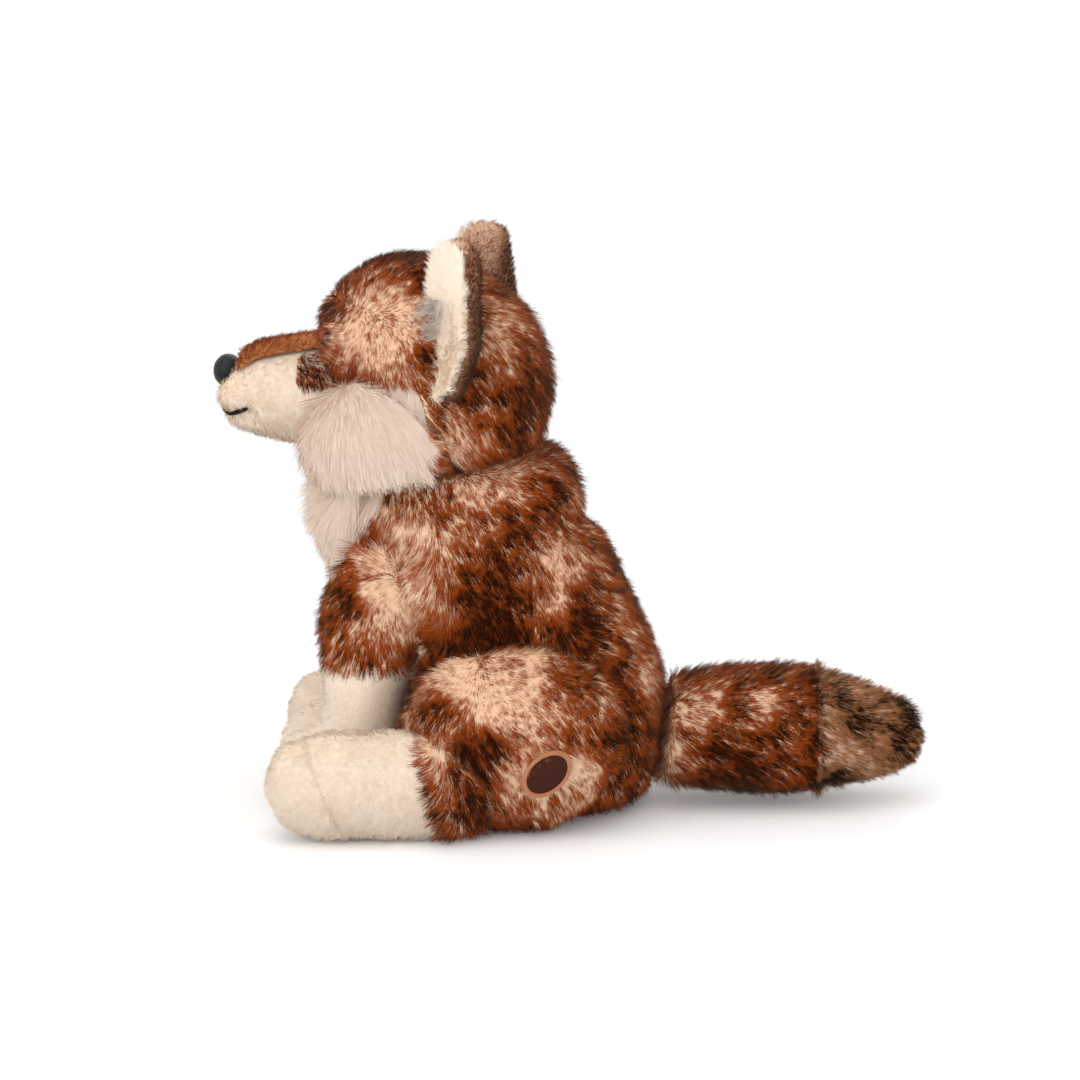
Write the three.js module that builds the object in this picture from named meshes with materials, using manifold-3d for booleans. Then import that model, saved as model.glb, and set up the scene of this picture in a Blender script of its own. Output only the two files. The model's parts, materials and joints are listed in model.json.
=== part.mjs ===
// A sitting plush wolf: sewn fur covers over fibre fill, a pellet pouch in the seat, moulded eyes and nose.
// Millimetres, +Z up. It faces -Y, its left side is +X, and the origin is on the floor under its seat.
// Each cover is an open sock where it is sewn to its neighbour, and a smaller form is cut by the larger one.
import * as THREE from "three";
import { mergeVertices } from "three/addons/utils/BufferGeometryUtils.js";
import Module from "manifold-3d";

const wasm = await Module();
wasm.setup();

// Cloth, fill and seams
const coverThickness = 2.4;
const seamGap = 0.4;
const swingGap = 0.8;
const fillGap = 0.3;

// Torso, from the seat up to the neck; a set is how far the section's middle lies along Y
const seatRounding = 12;
const seatSag = 3;
const seatHalfWidth = 40;
const seatHalfDepth = 40;
const seatSet = -2;
const hipHeight = 44;
const hipHalfWidth = 46;
const hipHalfDepth = 48.5;
const hipSet = -3;
const waistHeight = 80;
const waistHalfWidth = 46;
const waistHalfDepth = 51;
const waistSet = -15;
const chestHeight = 116;
const chestHalfWidth = 41;
const chestHalfDepth = 57.5;
const chestSet = -39.5;
const neckHalfWidth = 35;
const neckHalfDepth = 49;

// Chest panel
const chestPanelThickness = 6;
const chestPanelHalfWidth = 27;
const chestPanelBottom = 68;

// Pellet pouch
const pouchHalfWidth = 24;
const pouchHalfDepth = 27;
const pouchHalfHeight = 9;

// Neck: a ball of fill on the seam, which leans forward with the back
const neckSet = -45;
const neckHeight = 148;
const neckLean = 8;
const neckBallRadius = 20;
const nodRange = 6;

// Head, measured from the neck and looking straight ahead
const headTurn = -8;
const jawHeight = 3;
const jawHalfWidth = 36;
const jawHalfDepth = 38;
const jawSet = -4;
const jawRounding = 8;
const cheekHeight = 22;
const cheekHalfWidth = 45;
const cheekHalfDepth = 45;
const cheekSet = -3;
const templeHeight = 45;
const templeHalfWidth = 46;
const templeHalfDepth = 47.5;
const templeSet = -7;
const foreheadHeight = 66;
const foreheadHalfWidth = 42;
const foreheadHalfDepth = 42;
const foreheadSet = -13;
const crownHeight = 78;
const crownHalfWidth = 29;
const crownHalfDepth = 27;
const crownSet = -15;
const crownRounding = 8;

// Cheek ruffs
const ruffOut = 35;
const ruffSet = -25;
const ruffHeight = 13;
const ruffHalfWidth = 18.5;
const ruffHalfDepth = 31;
const ruffHalfHeight = 27;

// Muzzle, from inside the head out to the lips
const muzzleRootSet = -40;
const muzzleRootHeight = 29;
const muzzleRootHalfWidth = 27;
const muzzleRootHalfHeight = 23;
const muzzleMiddleSet = -63;
const muzzleMiddleHeight = 26.5;
const muzzleMiddleHalfWidth = 23.5;
const muzzleMiddleHalfHeight = 22.3;
const snoutSet = -82;
const snoutHeight = 26.5;
const snoutHalfWidth = 19;
const snoutHalfHeight = 18.8;
const lipSet = -92;
const lipHeight = 26;
const lipHalfWidth = 14.5;
const lipHalfHeight = 14;
const lipRounding = 7;
const bridgeThickness = 2;
const bridgeHalfWidth = 13;
const bridgeFrontSet = -89;
const mouthThreadRadius = 0.8;
const mouthSteps = 8;
const mouthStitches = [
  { along: 0.72, angle: -20 },
  { along: 0.95, angle: -32 },
  { along: 1.35, angle: -48 },
  { along: 1.79, angle: -90 },
];

// Moulded nose and eyes, each with a shank through the cover and a washer behind it
const noseSet = -95;
const noseHeight = 35;
const noseHalfWidth = 9;
const noseHalfDepth = 6.5;
const noseHalfHeight = 7.8;
const eyeOut = 28;
const eyeHeight = 53;
const eyeRadius = 5.5;
const eyeDome = 3.5;
const shankRadius = 2;
const shankLength = 12;
const noseShankLength = 14;
const washerRadius = 6;
const washerThickness = 1.6;
const washerGap = 0.3;

// Ears: a back and a lining, cupped forward, each leaf a flat lens
const earOut = 42;
const earSet = 11;
const earHeight = 55;
const earTip = 38;
const earDrop = 33;
const earWidestDrop = 8;
const earHalfWidth = 22;
const earDropHalfWidth = 13;
const earUpperHalfWidth = 12;
const earUpperHeight = 28;
const earBow = 14;
const earOuterCup = 14;
const earInnerCup = 3;
const earBackHalfThickness = 5.2;
const earLiningHalfThickness = 3;
const earLiningAhead = 4.9;
const earLiningInset = 1.5;
const earLean = 4;
const earTurn = 45;
const earSweepBack = 18;
const earFoldRange = 12;

// Forelegs, straight down from the shoulder to a paw on the floor
const forelegOut = 21;
const shoulderPivotSet = -62;
const shoulderPivotHeight = 106;
const shoulderSet = -66;
const shoulderHeight = 112;
const shoulderHalfWidth = 19;
const shoulderHalfDepth = 26;
const shoulderRounding = 14;
const upperArmSet = -75;
const upperArmHeight = 88;
const upperArmHalfWidth = 15.5;
const upperArmHalfDepth = 25.5;
const wristSet = -82;
const wristHeight = 50;
const wristHalfWidth = 15.5;
const wristHalfDepth = 17.5;
const ankleSet = -84;
const ankleHeight = 18;
const ankleHalfWidth = 16;
const ankleHalfDepth = 18;
const ankleRounding = 20;
const forepawSet = -98;
const forepawHeight = 19;
const forepawHalfWidth = 17;
const forepawHalfLength = 24;
const forepawHalfHeight = 21;
const sleeveHem = 67;
const forelegSwing = 20;
const midlineGap = 2;

// Hind legs: a plump thigh flat against the hip, a splayed foot and its sole
const hipPivotOut = 40;
const hipPivotSet = -12;
const hipPivotHeight = 44;
const thighOut = 41;
const thighSet = -20;
const thighHeight = 41;
const thighHalfWidth = 25;
const thighHalfDepth = 48;
const thighHalfHeight = 42;
const heelOut = 53;
const heelSet = -42;
const heelHeight = 21.5;
const toeOut = 58;
const toeSet = -97;
const toeHeight = 22.5;
const footHalfWidth = 17;
const footHalfHeight = 23.5;
const heelRounding = 14;
const toeRounding = 25;
const soleTopSet = -103;
const soleTopHeight = 40;
const soleBottomSet = -87;
const hindLegSwing = 20;

// Badge sewn on the left thigh, behind and below the middle of its bulge
const badgeHalfLength = 11.5;
const badgeHalfWidth = 8.5;
const badgeBorder = 1.8;
const badgeBorderThickness = 2.2;
const badgeThickness = 1.4;
const badgeBack = 14;
const badgeDown = 11;
const badgeTilt = 45;
const badgeSink = 0.9;

// Tail, straight back from the rump, with a separate tip
const tailPivotSet = 36;
const tailPivotHeight = 32;
const tailRootSet = 38;
const tailRootHalfWidth = 20;
const tailRootHalfHeight = 23;
const tailThickSet = 75;
const tailHalfWidth = 25;
const tailHalfHeight = 27;
const tailThinSet = 134;
const tailThinHeight = 30;
const tailThinHalfWidth = 17;
const tailThinHalfHeight = 18;
const tailRootRounding = 10;
const tailTipRounding = 19;
const tailSeam = 108;
const tailSeamHalfWidth = 24;
const tailSeamHalfHeight = 26;
const tailSwing = 18;

// Facets and steps of turn
const roundSides = 14;
const roundSteps = 6;
const innerSides = 8;
const noseSides = 10;
const earSteps = 3;
const ballSides = 20;
const domeRings = 2;
const sweepStep = 10;
const firstDomeEnd = -1;
const lastDomeEnd = 2;
const heightTolerance = 1e-6;
const farAway = 400;

// Materials, in the colours of the toy
const fabric = (color) => new THREE.MeshStandardMaterial({ color, roughness: 0.95, metalness: 0 });
const plastic = (color, roughness) => new THREE.MeshStandardMaterial({ color, roughness, metalness: 0 });
const brownFur = fabric(0x87502f);
const darkFur = fabric(0x5a3620);
const greyFur = fabric(0x8c6850);
const rustPile = fabric(0x904e2a);
const creamPile = fabric(0xeadac7);
const creamFur = fabric(0xe3cbb8);
const fibreFill = fabric(0xf2f1ec);
const pouchCloth = fabric(0xd8d6cf);
const badgeThread = fabric(0x54301d);
const borderThread = fabric(0xb0683a);
const blackThread = fabric(0x16120f);
const nosePlastic = plastic(0x252a32, 0.35);
const eyePlastic = plastic(0x17110d, 0.12);
const washerPlastic = plastic(0xe4e3dc, 0.5);

// Solids, and meshes made of them

const radians = THREE.MathUtils.degToRad;

function solidOf(geometry) {
  const bare = geometry.clone();
  bare.deleteAttribute("normal");
  bare.deleteAttribute("uv");
  const merged = mergeVertices(bare, 1e-4);
  const index = merged.index.array;
  const triVerts = [];
  for (let i = 0; i < index.length; i += 3) {
    const [a, b, c] = [index[i], index[i + 1], index[i + 2]];
    if (a !== b && b !== c && c !== a) triVerts.push(a, b, c);
  }
  const vertProperties = new Float32Array(merged.attributes.position.array);
  const mesh = new wasm.Mesh({ numProp: 3, vertProperties, triVerts: new Uint32Array(triVerts) });
  return new wasm.Manifold(mesh);
}

// What is left of a solid after the cuts, without loose offcuts.
function cutBy(body, ...tools) {
  const left = tools.flat().reduce((rest, tool) => rest.subtract(tool), body);
  return left.decompose().reduce((most, piece) => (piece.volume() > most.volume() ? piece : most));
}

function geometryOf(solid) {
  const { vertProperties, triVerts } = solid.getMesh();
  const geometry = new THREE.BufferGeometry();
  geometry.setAttribute("position", new THREE.BufferAttribute(new Float32Array(vertProperties), 3));
  geometry.setIndex(new THREE.BufferAttribute(new Uint32Array(triVerts), 1));
  geometry.computeVertexNormals();
  return geometry;
}

function addMesh(group, name, solid, material) {
  const mesh = new THREE.Mesh(geometryOf(solid), material);
  mesh.name = name;
  group.add(mesh);
}

function block(min, max) {
  const size = new THREE.Vector3().subVectors(max, min);
  const middle = new THREE.Vector3().addVectors(min, max).multiplyScalar(0.5);
  return new THREE.BoxGeometry(size.x, size.y, size.z).translate(middle.x, middle.y, middle.z);
}

const point = (x, y, z) => new THREE.Vector3(x, y, z);

// A group is a body at rest: its origin is the joint, and its pieces are drawn around that.
function bodyAt(parent, position, rotation = new THREE.Euler()) {
  const group = new THREE.Group();
  group.position.copy(position);
  group.rotation.copy(rotation);
  parent.add(group);
  group.updateWorldMatrix(true, false);
  return group;
}

function asSeenFrom(group, geometry, owner) {
  const toGroup = group.matrixWorld.clone().invert().multiply(owner.matrixWorld);
  return geometry.clone().applyMatrix4(toGroup);
}

// A neighbour at each step of a joint's turn, as the turning body sees it.
function sweptBy(geometry, axis, from, to) {
  const steps = Math.max(1, Math.ceil((to - from) / sweepStep));
  const places = [];
  for (let i = 0; i <= steps; i += 1) {
    const angle = radians(from + ((to - from) * i) / steps);
    places.push(solidOf(geometry.clone().applyMatrix4(new THREE.Matrix4().makeRotationAxis(axis, -angle))));
  }
  return places;
}

// Stuffed forms: parallel ellipses along a smooth spine, with a dome at each end.
// The spine runs from 0 to 1, the first dome from 0 down to -1 and the last one from 1 up to 2.

function ringAt(form, t, grow) {
  const along = THREE.MathUtils.clamp(t, 0, 1);
  const centre = form.spine.getPoint(along);
  const side = point(1, 0, 0).addScaledVector(form.axis, -form.axis.x).normalize();
  const lift = new THREE.Vector3().crossVectors(form.axis, side);
  const girth = form.girth.getPoint(along);
  const beyond = (t - along) * 0.5 * Math.PI;
  const dome = (t < 0 ? form.firstDome : form.lastDome) + grow;
  centre.addScaledVector(form.axis, dome * Math.sin(beyond));
  const shrink = Math.cos(beyond);
  return { centre, side, lift, wide: (girth.x + grow) * shrink, tall: (girth.y + grow) * shrink };
}

function onForm(form, t, angle, grow = 0) {
  const ring = ringAt(form, t, grow);
  return ring.centre
    .clone()
    .addScaledVector(ring.side, ring.wide * Math.cos(angle))
    .addScaledVector(ring.lift, ring.tall * Math.sin(angle));
}

function plumpForm(axis, stations, firstDome, lastDome) {
  const spine = new THREE.CatmullRomCurve3(stations.map(({ at }) => at));
  const girth = new THREE.SplineCurve(stations.map(({ wide, tall }) => new THREE.Vector2(wide, tall)));
  return { axis, spine, girth, firstDome, lastDome };
}

function plump(form, grow = 0, sides = roundSides, steps = roundSteps) {
  const places = [];
  for (let i = 1 - domeRings; i < 0; i += 1) places.push(i / domeRings);
  for (let i = 0; i <= steps; i += 1) places.push(i / steps);
  for (let i = 1; i < domeRings; i += 1) places.push(1 + i / domeRings);
  const corners = [onForm(form, firstDomeEnd, 0, grow)];
  for (const t of places) {
    for (let j = 0; j < sides; j += 1) corners.push(onForm(form, t, (2 * Math.PI * j) / sides, grow));
  }
  corners.push(onForm(form, lastDomeEnd, 0, grow));
  const faces = [];
  const last = corners.length - 1;
  for (let j = 0; j < sides; j += 1) {
    const next = (j + 1) % sides;
    faces.push(0, 1 + next, 1 + j);
    for (let i = 0; i + 1 < places.length; i += 1) {
      const low = 1 + i * sides;
      const high = low + sides;
      faces.push(low + j, low + next, high + next, low + j, high + next, high + j);
    }
    faces.push(last, last - sides + j, last - sides + next);
  }
  const geometry = new THREE.BufferGeometry().setFromPoints(corners);
  geometry.setIndex(faces);
  return geometry;
}

// The same form inside its cover, with fewer facets because it is never seen.
const inside = (form, inset) => plump(form, -inset, innerSides);

function egg(centre, halfSizes, grow = 0, sides = roundSides, rings = roundSides / 2) {
  const geometry = new THREE.SphereGeometry(1, sides, rings).rotateX(Math.PI / 2);
  geometry.scale(halfSizes.x + grow, halfSizes.y + grow, halfSizes.z + grow);
  return geometry.translate(centre.x, centre.y, centre.z);
}

const fillInset = coverThickness + fillGap;
const across = point(1, 0, 0);
const upright = point(0, 0, 1);
const down = point(0, 0, -1);
const ahead = point(0, -1, 0);
const behind = point(0, 1, 0);

// Bodies at rest
const wolf = new THREE.Group();
const torso = bodyAt(wolf, point(0, 0, 0));
const neck = bodyAt(torso, point(0, neckSet, neckHeight), new THREE.Euler(radians(neckLean), 0, 0));
const turnedNeck = bodyAt(neck, point(0, 0, 0), new THREE.Euler(0, 0, radians(headTurn)));
const head = bodyAt(turnedNeck, point(0, 0, 0), new THREE.Euler(-radians(neckLean), 0, 0));

const floorBlock = block(point(-farAway, -farAway, -farAway), point(farAway, farAway, 0));
const floorSeenFrom = (group) => solidOf(asSeenFrom(group, floorBlock, torso));

// Torso cover, open at the seat and at the neck

const torsoForm = plumpForm(
  upright,
  [
    { at: point(0, seatSet, seatRounding - seatSag), wide: seatHalfWidth, tall: seatHalfDepth },
    { at: point(0, hipSet, hipHeight), wide: hipHalfWidth, tall: hipHalfDepth },
    { at: point(0, waistSet, waistHeight), wide: waistHalfWidth, tall: waistHalfDepth },
    { at: point(0, chestSet, chestHeight), wide: chestHalfWidth, tall: chestHalfDepth },
    { at: point(0, neckSet, neckHeight), wide: neckHalfWidth, tall: neckHalfDepth },
  ],
  seatRounding,
  neckBallRadius,
);
const overNeck = block(point(-farAway, -farAway, -seamGap), point(farAway, farAway, farAway));
const neckPlane = solidOf(asSeenFrom(torso, overNeck, neck));
const floor = solidOf(floorBlock);
const torsoCover = cutBy(
  solidOf(plump(torsoForm)),
  solidOf(inside(torsoForm, coverThickness)),
  floor,
  neckPlane,
);
addMesh(torso, "torso_cover", torsoCover, brownFur);

// Chest panel on the front of the torso cover

function chestPanelSolid(grow) {
  const outer = solidOf(plump(torsoForm, seamGap + chestPanelThickness + grow));
  const reach = block(
    point(-chestPanelHalfWidth - grow, -farAway, chestPanelBottom - grow),
    point(chestPanelHalfWidth + grow, chestSet, farAway),
  );
  return outer.intersect(solidOf(reach));
}
const torsoGrown = solidOf(plump(torsoForm, seamGap));
addMesh(torso, "chest_panel", cutBy(chestPanelSolid(0), torsoGrown, neckPlane), creamFur);

// Seat panel that closes the torso, the pellet pouch on it, and the fill above

const panelTop = block(point(-farAway, -farAway, coverThickness), point(farAway, farAway, farAway));
const seatPanel = cutBy(solidOf(inside(torsoForm, coverThickness + seamGap)), floor, solidOf(panelTop));
addMesh(torso, "seat_panel", seatPanel, brownFur);

const pouchMiddle = point(0, seatSet, coverThickness + fillGap + pouchHalfHeight);
const pouchHalfSizes = point(pouchHalfWidth, pouchHalfDepth, pouchHalfHeight);
const pouch = (grow) => solidOf(egg(pouchMiddle, pouchHalfSizes, grow, innerSides, innerSides / 2));
addMesh(torso, "pellet_pouch", pouch(0), pouchCloth);

const underFill = block(
  point(-farAway, -farAway, -farAway),
  point(farAway, farAway, coverThickness + fillGap),
);
// The neck's ball, and the pocket that its corners turn in without touching the pocket's flats
const ballSolid = (radius) => egg(point(0, 0, 0), point(radius, radius, radius), 0, ballSides, ballSides / 2);
const ballPocket = ballSolid((neckBallRadius + seamGap) / Math.cos(Math.PI / ballSides) ** 2);
const torsoStuffing = cutBy(
  solidOf(inside(torsoForm, fillInset)),
  solidOf(underFill),
  neckPlane,
  pouch(fillGap),
  solidOf(asSeenFrom(torso, ballPocket, neck)),
);
addMesh(torso, "torso_stuffing", torsoStuffing, fibreFill);

// Neck fill, a ball that the head nods and turns on

addMesh(neck, "neck_stuffing", solidOf(ballSolid(neckBallRadius)), fibreFill);

// Room for the nod: the head stays above a shallow cone around the neck
const nodRise = farAway * Math.tan(radians(nodRange));
const nodCone = new THREE.LatheGeometry(
  [
    new THREE.Vector2(0, -farAway),
    new THREE.Vector2(farAway, -farAway),
    new THREE.Vector2(farAway, nodRise),
    new THREE.Vector2(0, 0),
  ],
  roundSides,
).rotateX(Math.PI / 2);
const underHead = solidOf(asSeenFrom(head, nodCone, neck));

const headForm = plumpForm(
  upright,
  [
    { at: point(0, jawSet, jawHeight), wide: jawHalfWidth, tall: jawHalfDepth },
    { at: point(0, cheekSet, cheekHeight), wide: cheekHalfWidth, tall: cheekHalfDepth },
    { at: point(0, templeSet, templeHeight), wide: templeHalfWidth, tall: templeHalfDepth },
    { at: point(0, foreheadSet, foreheadHeight), wide: foreheadHalfWidth, tall: foreheadHalfDepth },
    { at: point(0, crownSet, crownHeight), wide: crownHalfWidth, tall: crownHalfDepth },
  ],
  jawRounding,
  crownRounding,
);
const muzzleForm = plumpForm(
  ahead,
  [
    { at: point(0, muzzleRootSet, muzzleRootHeight), wide: muzzleRootHalfWidth, tall: muzzleRootHalfHeight },
    {
      at: point(0, muzzleMiddleSet, muzzleMiddleHeight),
      wide: muzzleMiddleHalfWidth,
      tall: muzzleMiddleHalfHeight,
    },
    { at: point(0, snoutSet, snoutHeight), wide: snoutHalfWidth, tall: snoutHalfHeight },
    { at: point(0, lipSet, lipHeight), wide: lipHalfWidth, tall: lipHalfHeight },
  ],
  lipRounding,
  lipRounding,
);
const headGrown = solidOf(plump(headForm, seamGap));
const muzzleGrown = solidOf(plump(muzzleForm, seamGap));

// Eyes and nose on their shanks; each points along its own +Z

function domedPin(radius, dome, grow) {
  const profile = [
    new THREE.Vector2(0, -shankLength - grow),
    new THREE.Vector2(shankRadius + grow, -shankLength - grow),
    new THREE.Vector2(shankRadius + grow, -grow),
    new THREE.Vector2(radius + grow, -grow),
  ];
  for (let i = 1; i < domeRings; i += 1) {
    const angle = (0.5 * Math.PI * i) / domeRings;
    profile.push(new THREE.Vector2((radius + grow) * Math.cos(angle), (dome + grow) * Math.sin(angle)));
  }
  profile.push(new THREE.Vector2(0, dome + grow));
  return new THREE.LatheGeometry(profile, innerSides).rotateX(Math.PI / 2);
}

function lockingWasher(grow) {
  const bore = shankRadius + washerGap - grow;
  const top = -coverThickness - fillGap + grow;
  const bottom = top - washerThickness - 2 * grow;
  const profile = [
    new THREE.Vector2(bore, bottom),
    new THREE.Vector2(washerRadius + grow, bottom),
    new THREE.Vector2(washerRadius + grow, top),
    new THREE.Vector2(bore, top),
    new THREE.Vector2(bore, bottom),
  ];
  return new THREE.LatheGeometry(profile, innerSides).rotateX(Math.PI / 2);
}

// A point of the head's front at a height and a distance from the middle.
function onHeadFront(out, height) {
  let low = 0;
  let high = 1;
  while (high - low > heightTolerance) {
    const middle = (low + high) / 2;
    if (headForm.spine.getPoint(middle).z < height) low = middle;
    else high = middle;
  }
  return onForm(headForm, low, -Math.acos(out / ringAt(headForm, low, 0).wide));
}

function facing(direction) {
  const turn = new THREE.Quaternion().setFromUnitVectors(upright, direction);
  return new THREE.Euler().setFromQuaternion(turn);
}

const sides = [
  { name: "left", out: 1 },
  { name: "right", out: -1 },
];
const eyePlaces = sides.map(({ out }) => {
  const place = onHeadFront(out * eyeOut, eyeHeight);
  return bodyAt(head, place, facing(place.clone().sub(point(0, templeSet, eyeHeight)).normalize()));
});
sides.forEach(({ name }, i) => {
  addMesh(eyePlaces[i], `${name}_eye`, solidOf(domedPin(eyeRadius, eyeDome, 0)), eyePlastic);
  addMesh(eyePlaces[i], `${name}_eye_washer`, solidOf(lockingWasher(0)), washerPlastic);
});

const nosePlace = bodyAt(head, point(0, noseSet, noseHeight), facing(ahead));
const noseWasherPlace = bodyAt(nosePlace, point(0, 0, -noseHalfDepth));
const noseHalfSizes = point(noseHalfWidth, noseHalfHeight, noseHalfDepth);
const nosePieces = (grow) => [
  egg(point(0, 0, 0), noseHalfSizes, grow, noseSides, noseSides / 2),
  new THREE.CylinderGeometry(shankRadius + grow, shankRadius + grow, noseShankLength, innerSides)
    .rotateX(Math.PI / 2)
    .translate(0, 0, -noseShankLength / 2),
];
const [noseButton, noseShank] = nosePieces(0).map(solidOf);
addMesh(nosePlace, "nose", noseButton.add(noseShank), nosePlastic);
addMesh(noseWasherPlace, "nose_washer", solidOf(lockingWasher(0)), washerPlastic);

// Room for the eyes and the nose in the covers and the fill
const seenFromHead = (place, geometries) => geometries.map((each) => solidOf(asSeenFrom(head, each, place)));
const eyeRoom = eyePlaces.flatMap((place) => seenFromHead(place, [domedPin(eyeRadius, eyeDome, seamGap)]));
const eyeWasherRoom = eyePlaces.flatMap((place) => seenFromHead(place, [lockingWasher(fillGap)]));
const noseRoom = seenFromHead(nosePlace, nosePieces(seamGap));
const noseWasherRoom = seenFromHead(noseWasherPlace, [lockingWasher(fillGap)]);

// Head cover, open at the neck, and its fill

const headCover = cutBy(
  solidOf(plump(headForm)),
  solidOf(inside(headForm, coverThickness)),
  underHead,
  eyeRoom,
  eyeWasherRoom,
);
addMesh(head, "head_cover", headCover, brownFur);
const headStuffing = cutBy(
  solidOf(inside(headForm, fillInset)),
  underHead,
  solidOf(asSeenFrom(head, ballPocket, neck)),
  eyeRoom,
  eyeWasherRoom,
);
addMesh(head, "head_stuffing", headStuffing, fibreFill);

// Mouth thread, laid in a groove of the muzzle from one corner round the lips to the other

function mouthThread(radius) {
  const half = mouthStitches.map(({ along, angle }) => onForm(muzzleForm, along, radians(angle)));
  const otherHalf = mouthStitches
    .slice(0, -1)
    .reverse()
    .map(({ along, angle }) => onForm(muzzleForm, along, radians(180 - angle)));
  const path = new THREE.CatmullRomCurve3([...half, ...otherHalf]);
  const section = new THREE.Shape().absarc(0, 0, radius, 0, 2 * Math.PI);
  return new THREE.ExtrudeGeometry(section, { extrudePath: path, steps: mouthSteps, curveSegments: 3 });
}
addMesh(head, "mouth_stitch", solidOf(mouthThread(mouthThreadRadius)), blackThread);
const mouthRoom = solidOf(mouthThread(mouthThreadRadius + seamGap));

// Muzzle cover, open towards the head, its fill, and the strip along its bridge

const muzzleCover = cutBy(
  solidOf(plump(muzzleForm)),
  solidOf(inside(muzzleForm, coverThickness)),
  headGrown,
  underHead,
  eyeRoom,
  noseRoom,
  noseWasherRoom,
  mouthRoom,
);
addMesh(head, "muzzle_cover", muzzleCover, creamPile);
const muzzleStuffing = cutBy(
  solidOf(inside(muzzleForm, fillInset)),
  headGrown,
  underHead,
  eyeRoom,
  noseRoom,
  noseWasherRoom,
  mouthRoom,
);
addMesh(head, "muzzle_stuffing", muzzleStuffing, fibreFill);

const bridgeBlock = solidOf(
  block(point(-bridgeHalfWidth, bridgeFrontSet, snoutHeight), point(bridgeHalfWidth, 0, farAway)),
);
const muzzleBridge = cutBy(
  solidOf(plump(muzzleForm, seamGap + bridgeThickness)).intersect(bridgeBlock),
  muzzleGrown,
  headGrown,
  noseRoom,
  eyeRoom,
);
addMesh(head, "muzzle_bridge", muzzleBridge, rustPile);

// Cheek ruffs, sewn on the head beside the muzzle

const ruffHalfSizes = point(ruffHalfWidth, ruffHalfDepth, ruffHalfHeight);
const ruffEgg = (out, grow) => egg(point(out * ruffOut, ruffSet, ruffHeight), ruffHalfSizes, grow);
for (const { name, out } of sides) {
  const ruff = cutBy(solidOf(ruffEgg(out, 0)), headGrown, muzzleGrown, underHead, eyeRoom);
  addMesh(head, `${name}_cheek_ruff`, ruff, creamFur);
}

// Ears, each folding about its root on the head

function earLeaf(out, inset, halfThickness, ahead, grow) {
  const forward = -out * earBow;
  const form = plumpForm(
    upright,
    [
      { at: point(forward, 0, -earDrop + inset), wide: earDropHalfWidth - inset, tall: halfThickness },
      { at: point(0, 0, -earWidestDrop), wide: earHalfWidth - inset, tall: halfThickness },
      { at: point(forward, 0, earUpperHeight - inset), wide: earUpperHalfWidth - inset, tall: halfThickness },
    ],
    earDropHalfWidth - inset,
    earTip - earUpperHeight,
  );
  const leaf = plump(form, grow, roundSides, earSteps);
  const corners = leaf.attributes.position;
  for (let i = 0; i < corners.count; i += 1) {
    const cup = corners.getX(i) * out > 0 ? earOuterCup : earInnerCup;
    const bend = cup * (corners.getX(i) / earHalfWidth) ** 2;
    corners.setY(i, corners.getY(i) - ahead - bend);
  }
  return leaf;
}

for (const { name, out } of sides) {
  const turn = new THREE.Euler(-radians(earSweepBack), out * radians(earLean), out * radians(earTurn));
  const ear = bodyAt(head, point(out * earOut, earSet, earHeight), turn);
  const headRoom = asSeenFrom(ear, plump(headForm, seamGap), head);
  const ruffRoom = asSeenFrom(ear, ruffEgg(out, seamGap), head);
  const room = [headRoom, ruffRoom].flatMap((each) => sweptBy(each, across, -earFoldRange, earFoldRange));
  const back = cutBy(solidOf(earLeaf(out, 0, earBackHalfThickness, 0, 0)), room);
  addMesh(ear, `${name}_ear_back`, back, darkFur);
  const lining = cutBy(
    solidOf(earLeaf(out, earLiningInset, earLiningHalfThickness, earLiningAhead, 0)),
    solidOf(earLeaf(out, 0, earBackHalfThickness, 0, seamGap)),
    room,
  );
  addMesh(ear, `${name}_ear_lining`, lining, creamPile);
}

// Forelegs: a fur sleeve down to its hem, a pale lower leg with the paw, and one fill

const forelegForm = plumpForm(
  down,
  [
    { at: point(0, shoulderSet, shoulderHeight), wide: shoulderHalfWidth, tall: shoulderHalfDepth },
    { at: point(0, upperArmSet, upperArmHeight), wide: upperArmHalfWidth, tall: upperArmHalfDepth },
    { at: point(0, wristSet, wristHeight), wide: wristHalfWidth, tall: wristHalfDepth },
    { at: point(0, ankleSet, ankleHeight), wide: ankleHalfWidth, tall: ankleHalfDepth },
  ],
  shoulderRounding,
  ankleRounding,
);
const forepawMiddle = point(0, forepawSet, forepawHeight);
const forepawHalfSizes = point(forepawHalfWidth, forepawHalfLength, forepawHalfHeight);
const legOuter = solidOf(plump(forelegForm)).add(solidOf(egg(forepawMiddle, forepawHalfSizes)));
const legInner = (inset) =>
  solidOf(inside(forelegForm, inset)).add(
    solidOf(egg(forepawMiddle, forepawHalfSizes, -inset, innerSides, innerSides / 2)),
  );
const legLift = point(-1, 0, 0);
const torsoInTheWay = plump(torsoForm, swingGap);
const chestPanelRoom = geometryOf(chestPanelSolid(seamGap));

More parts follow.
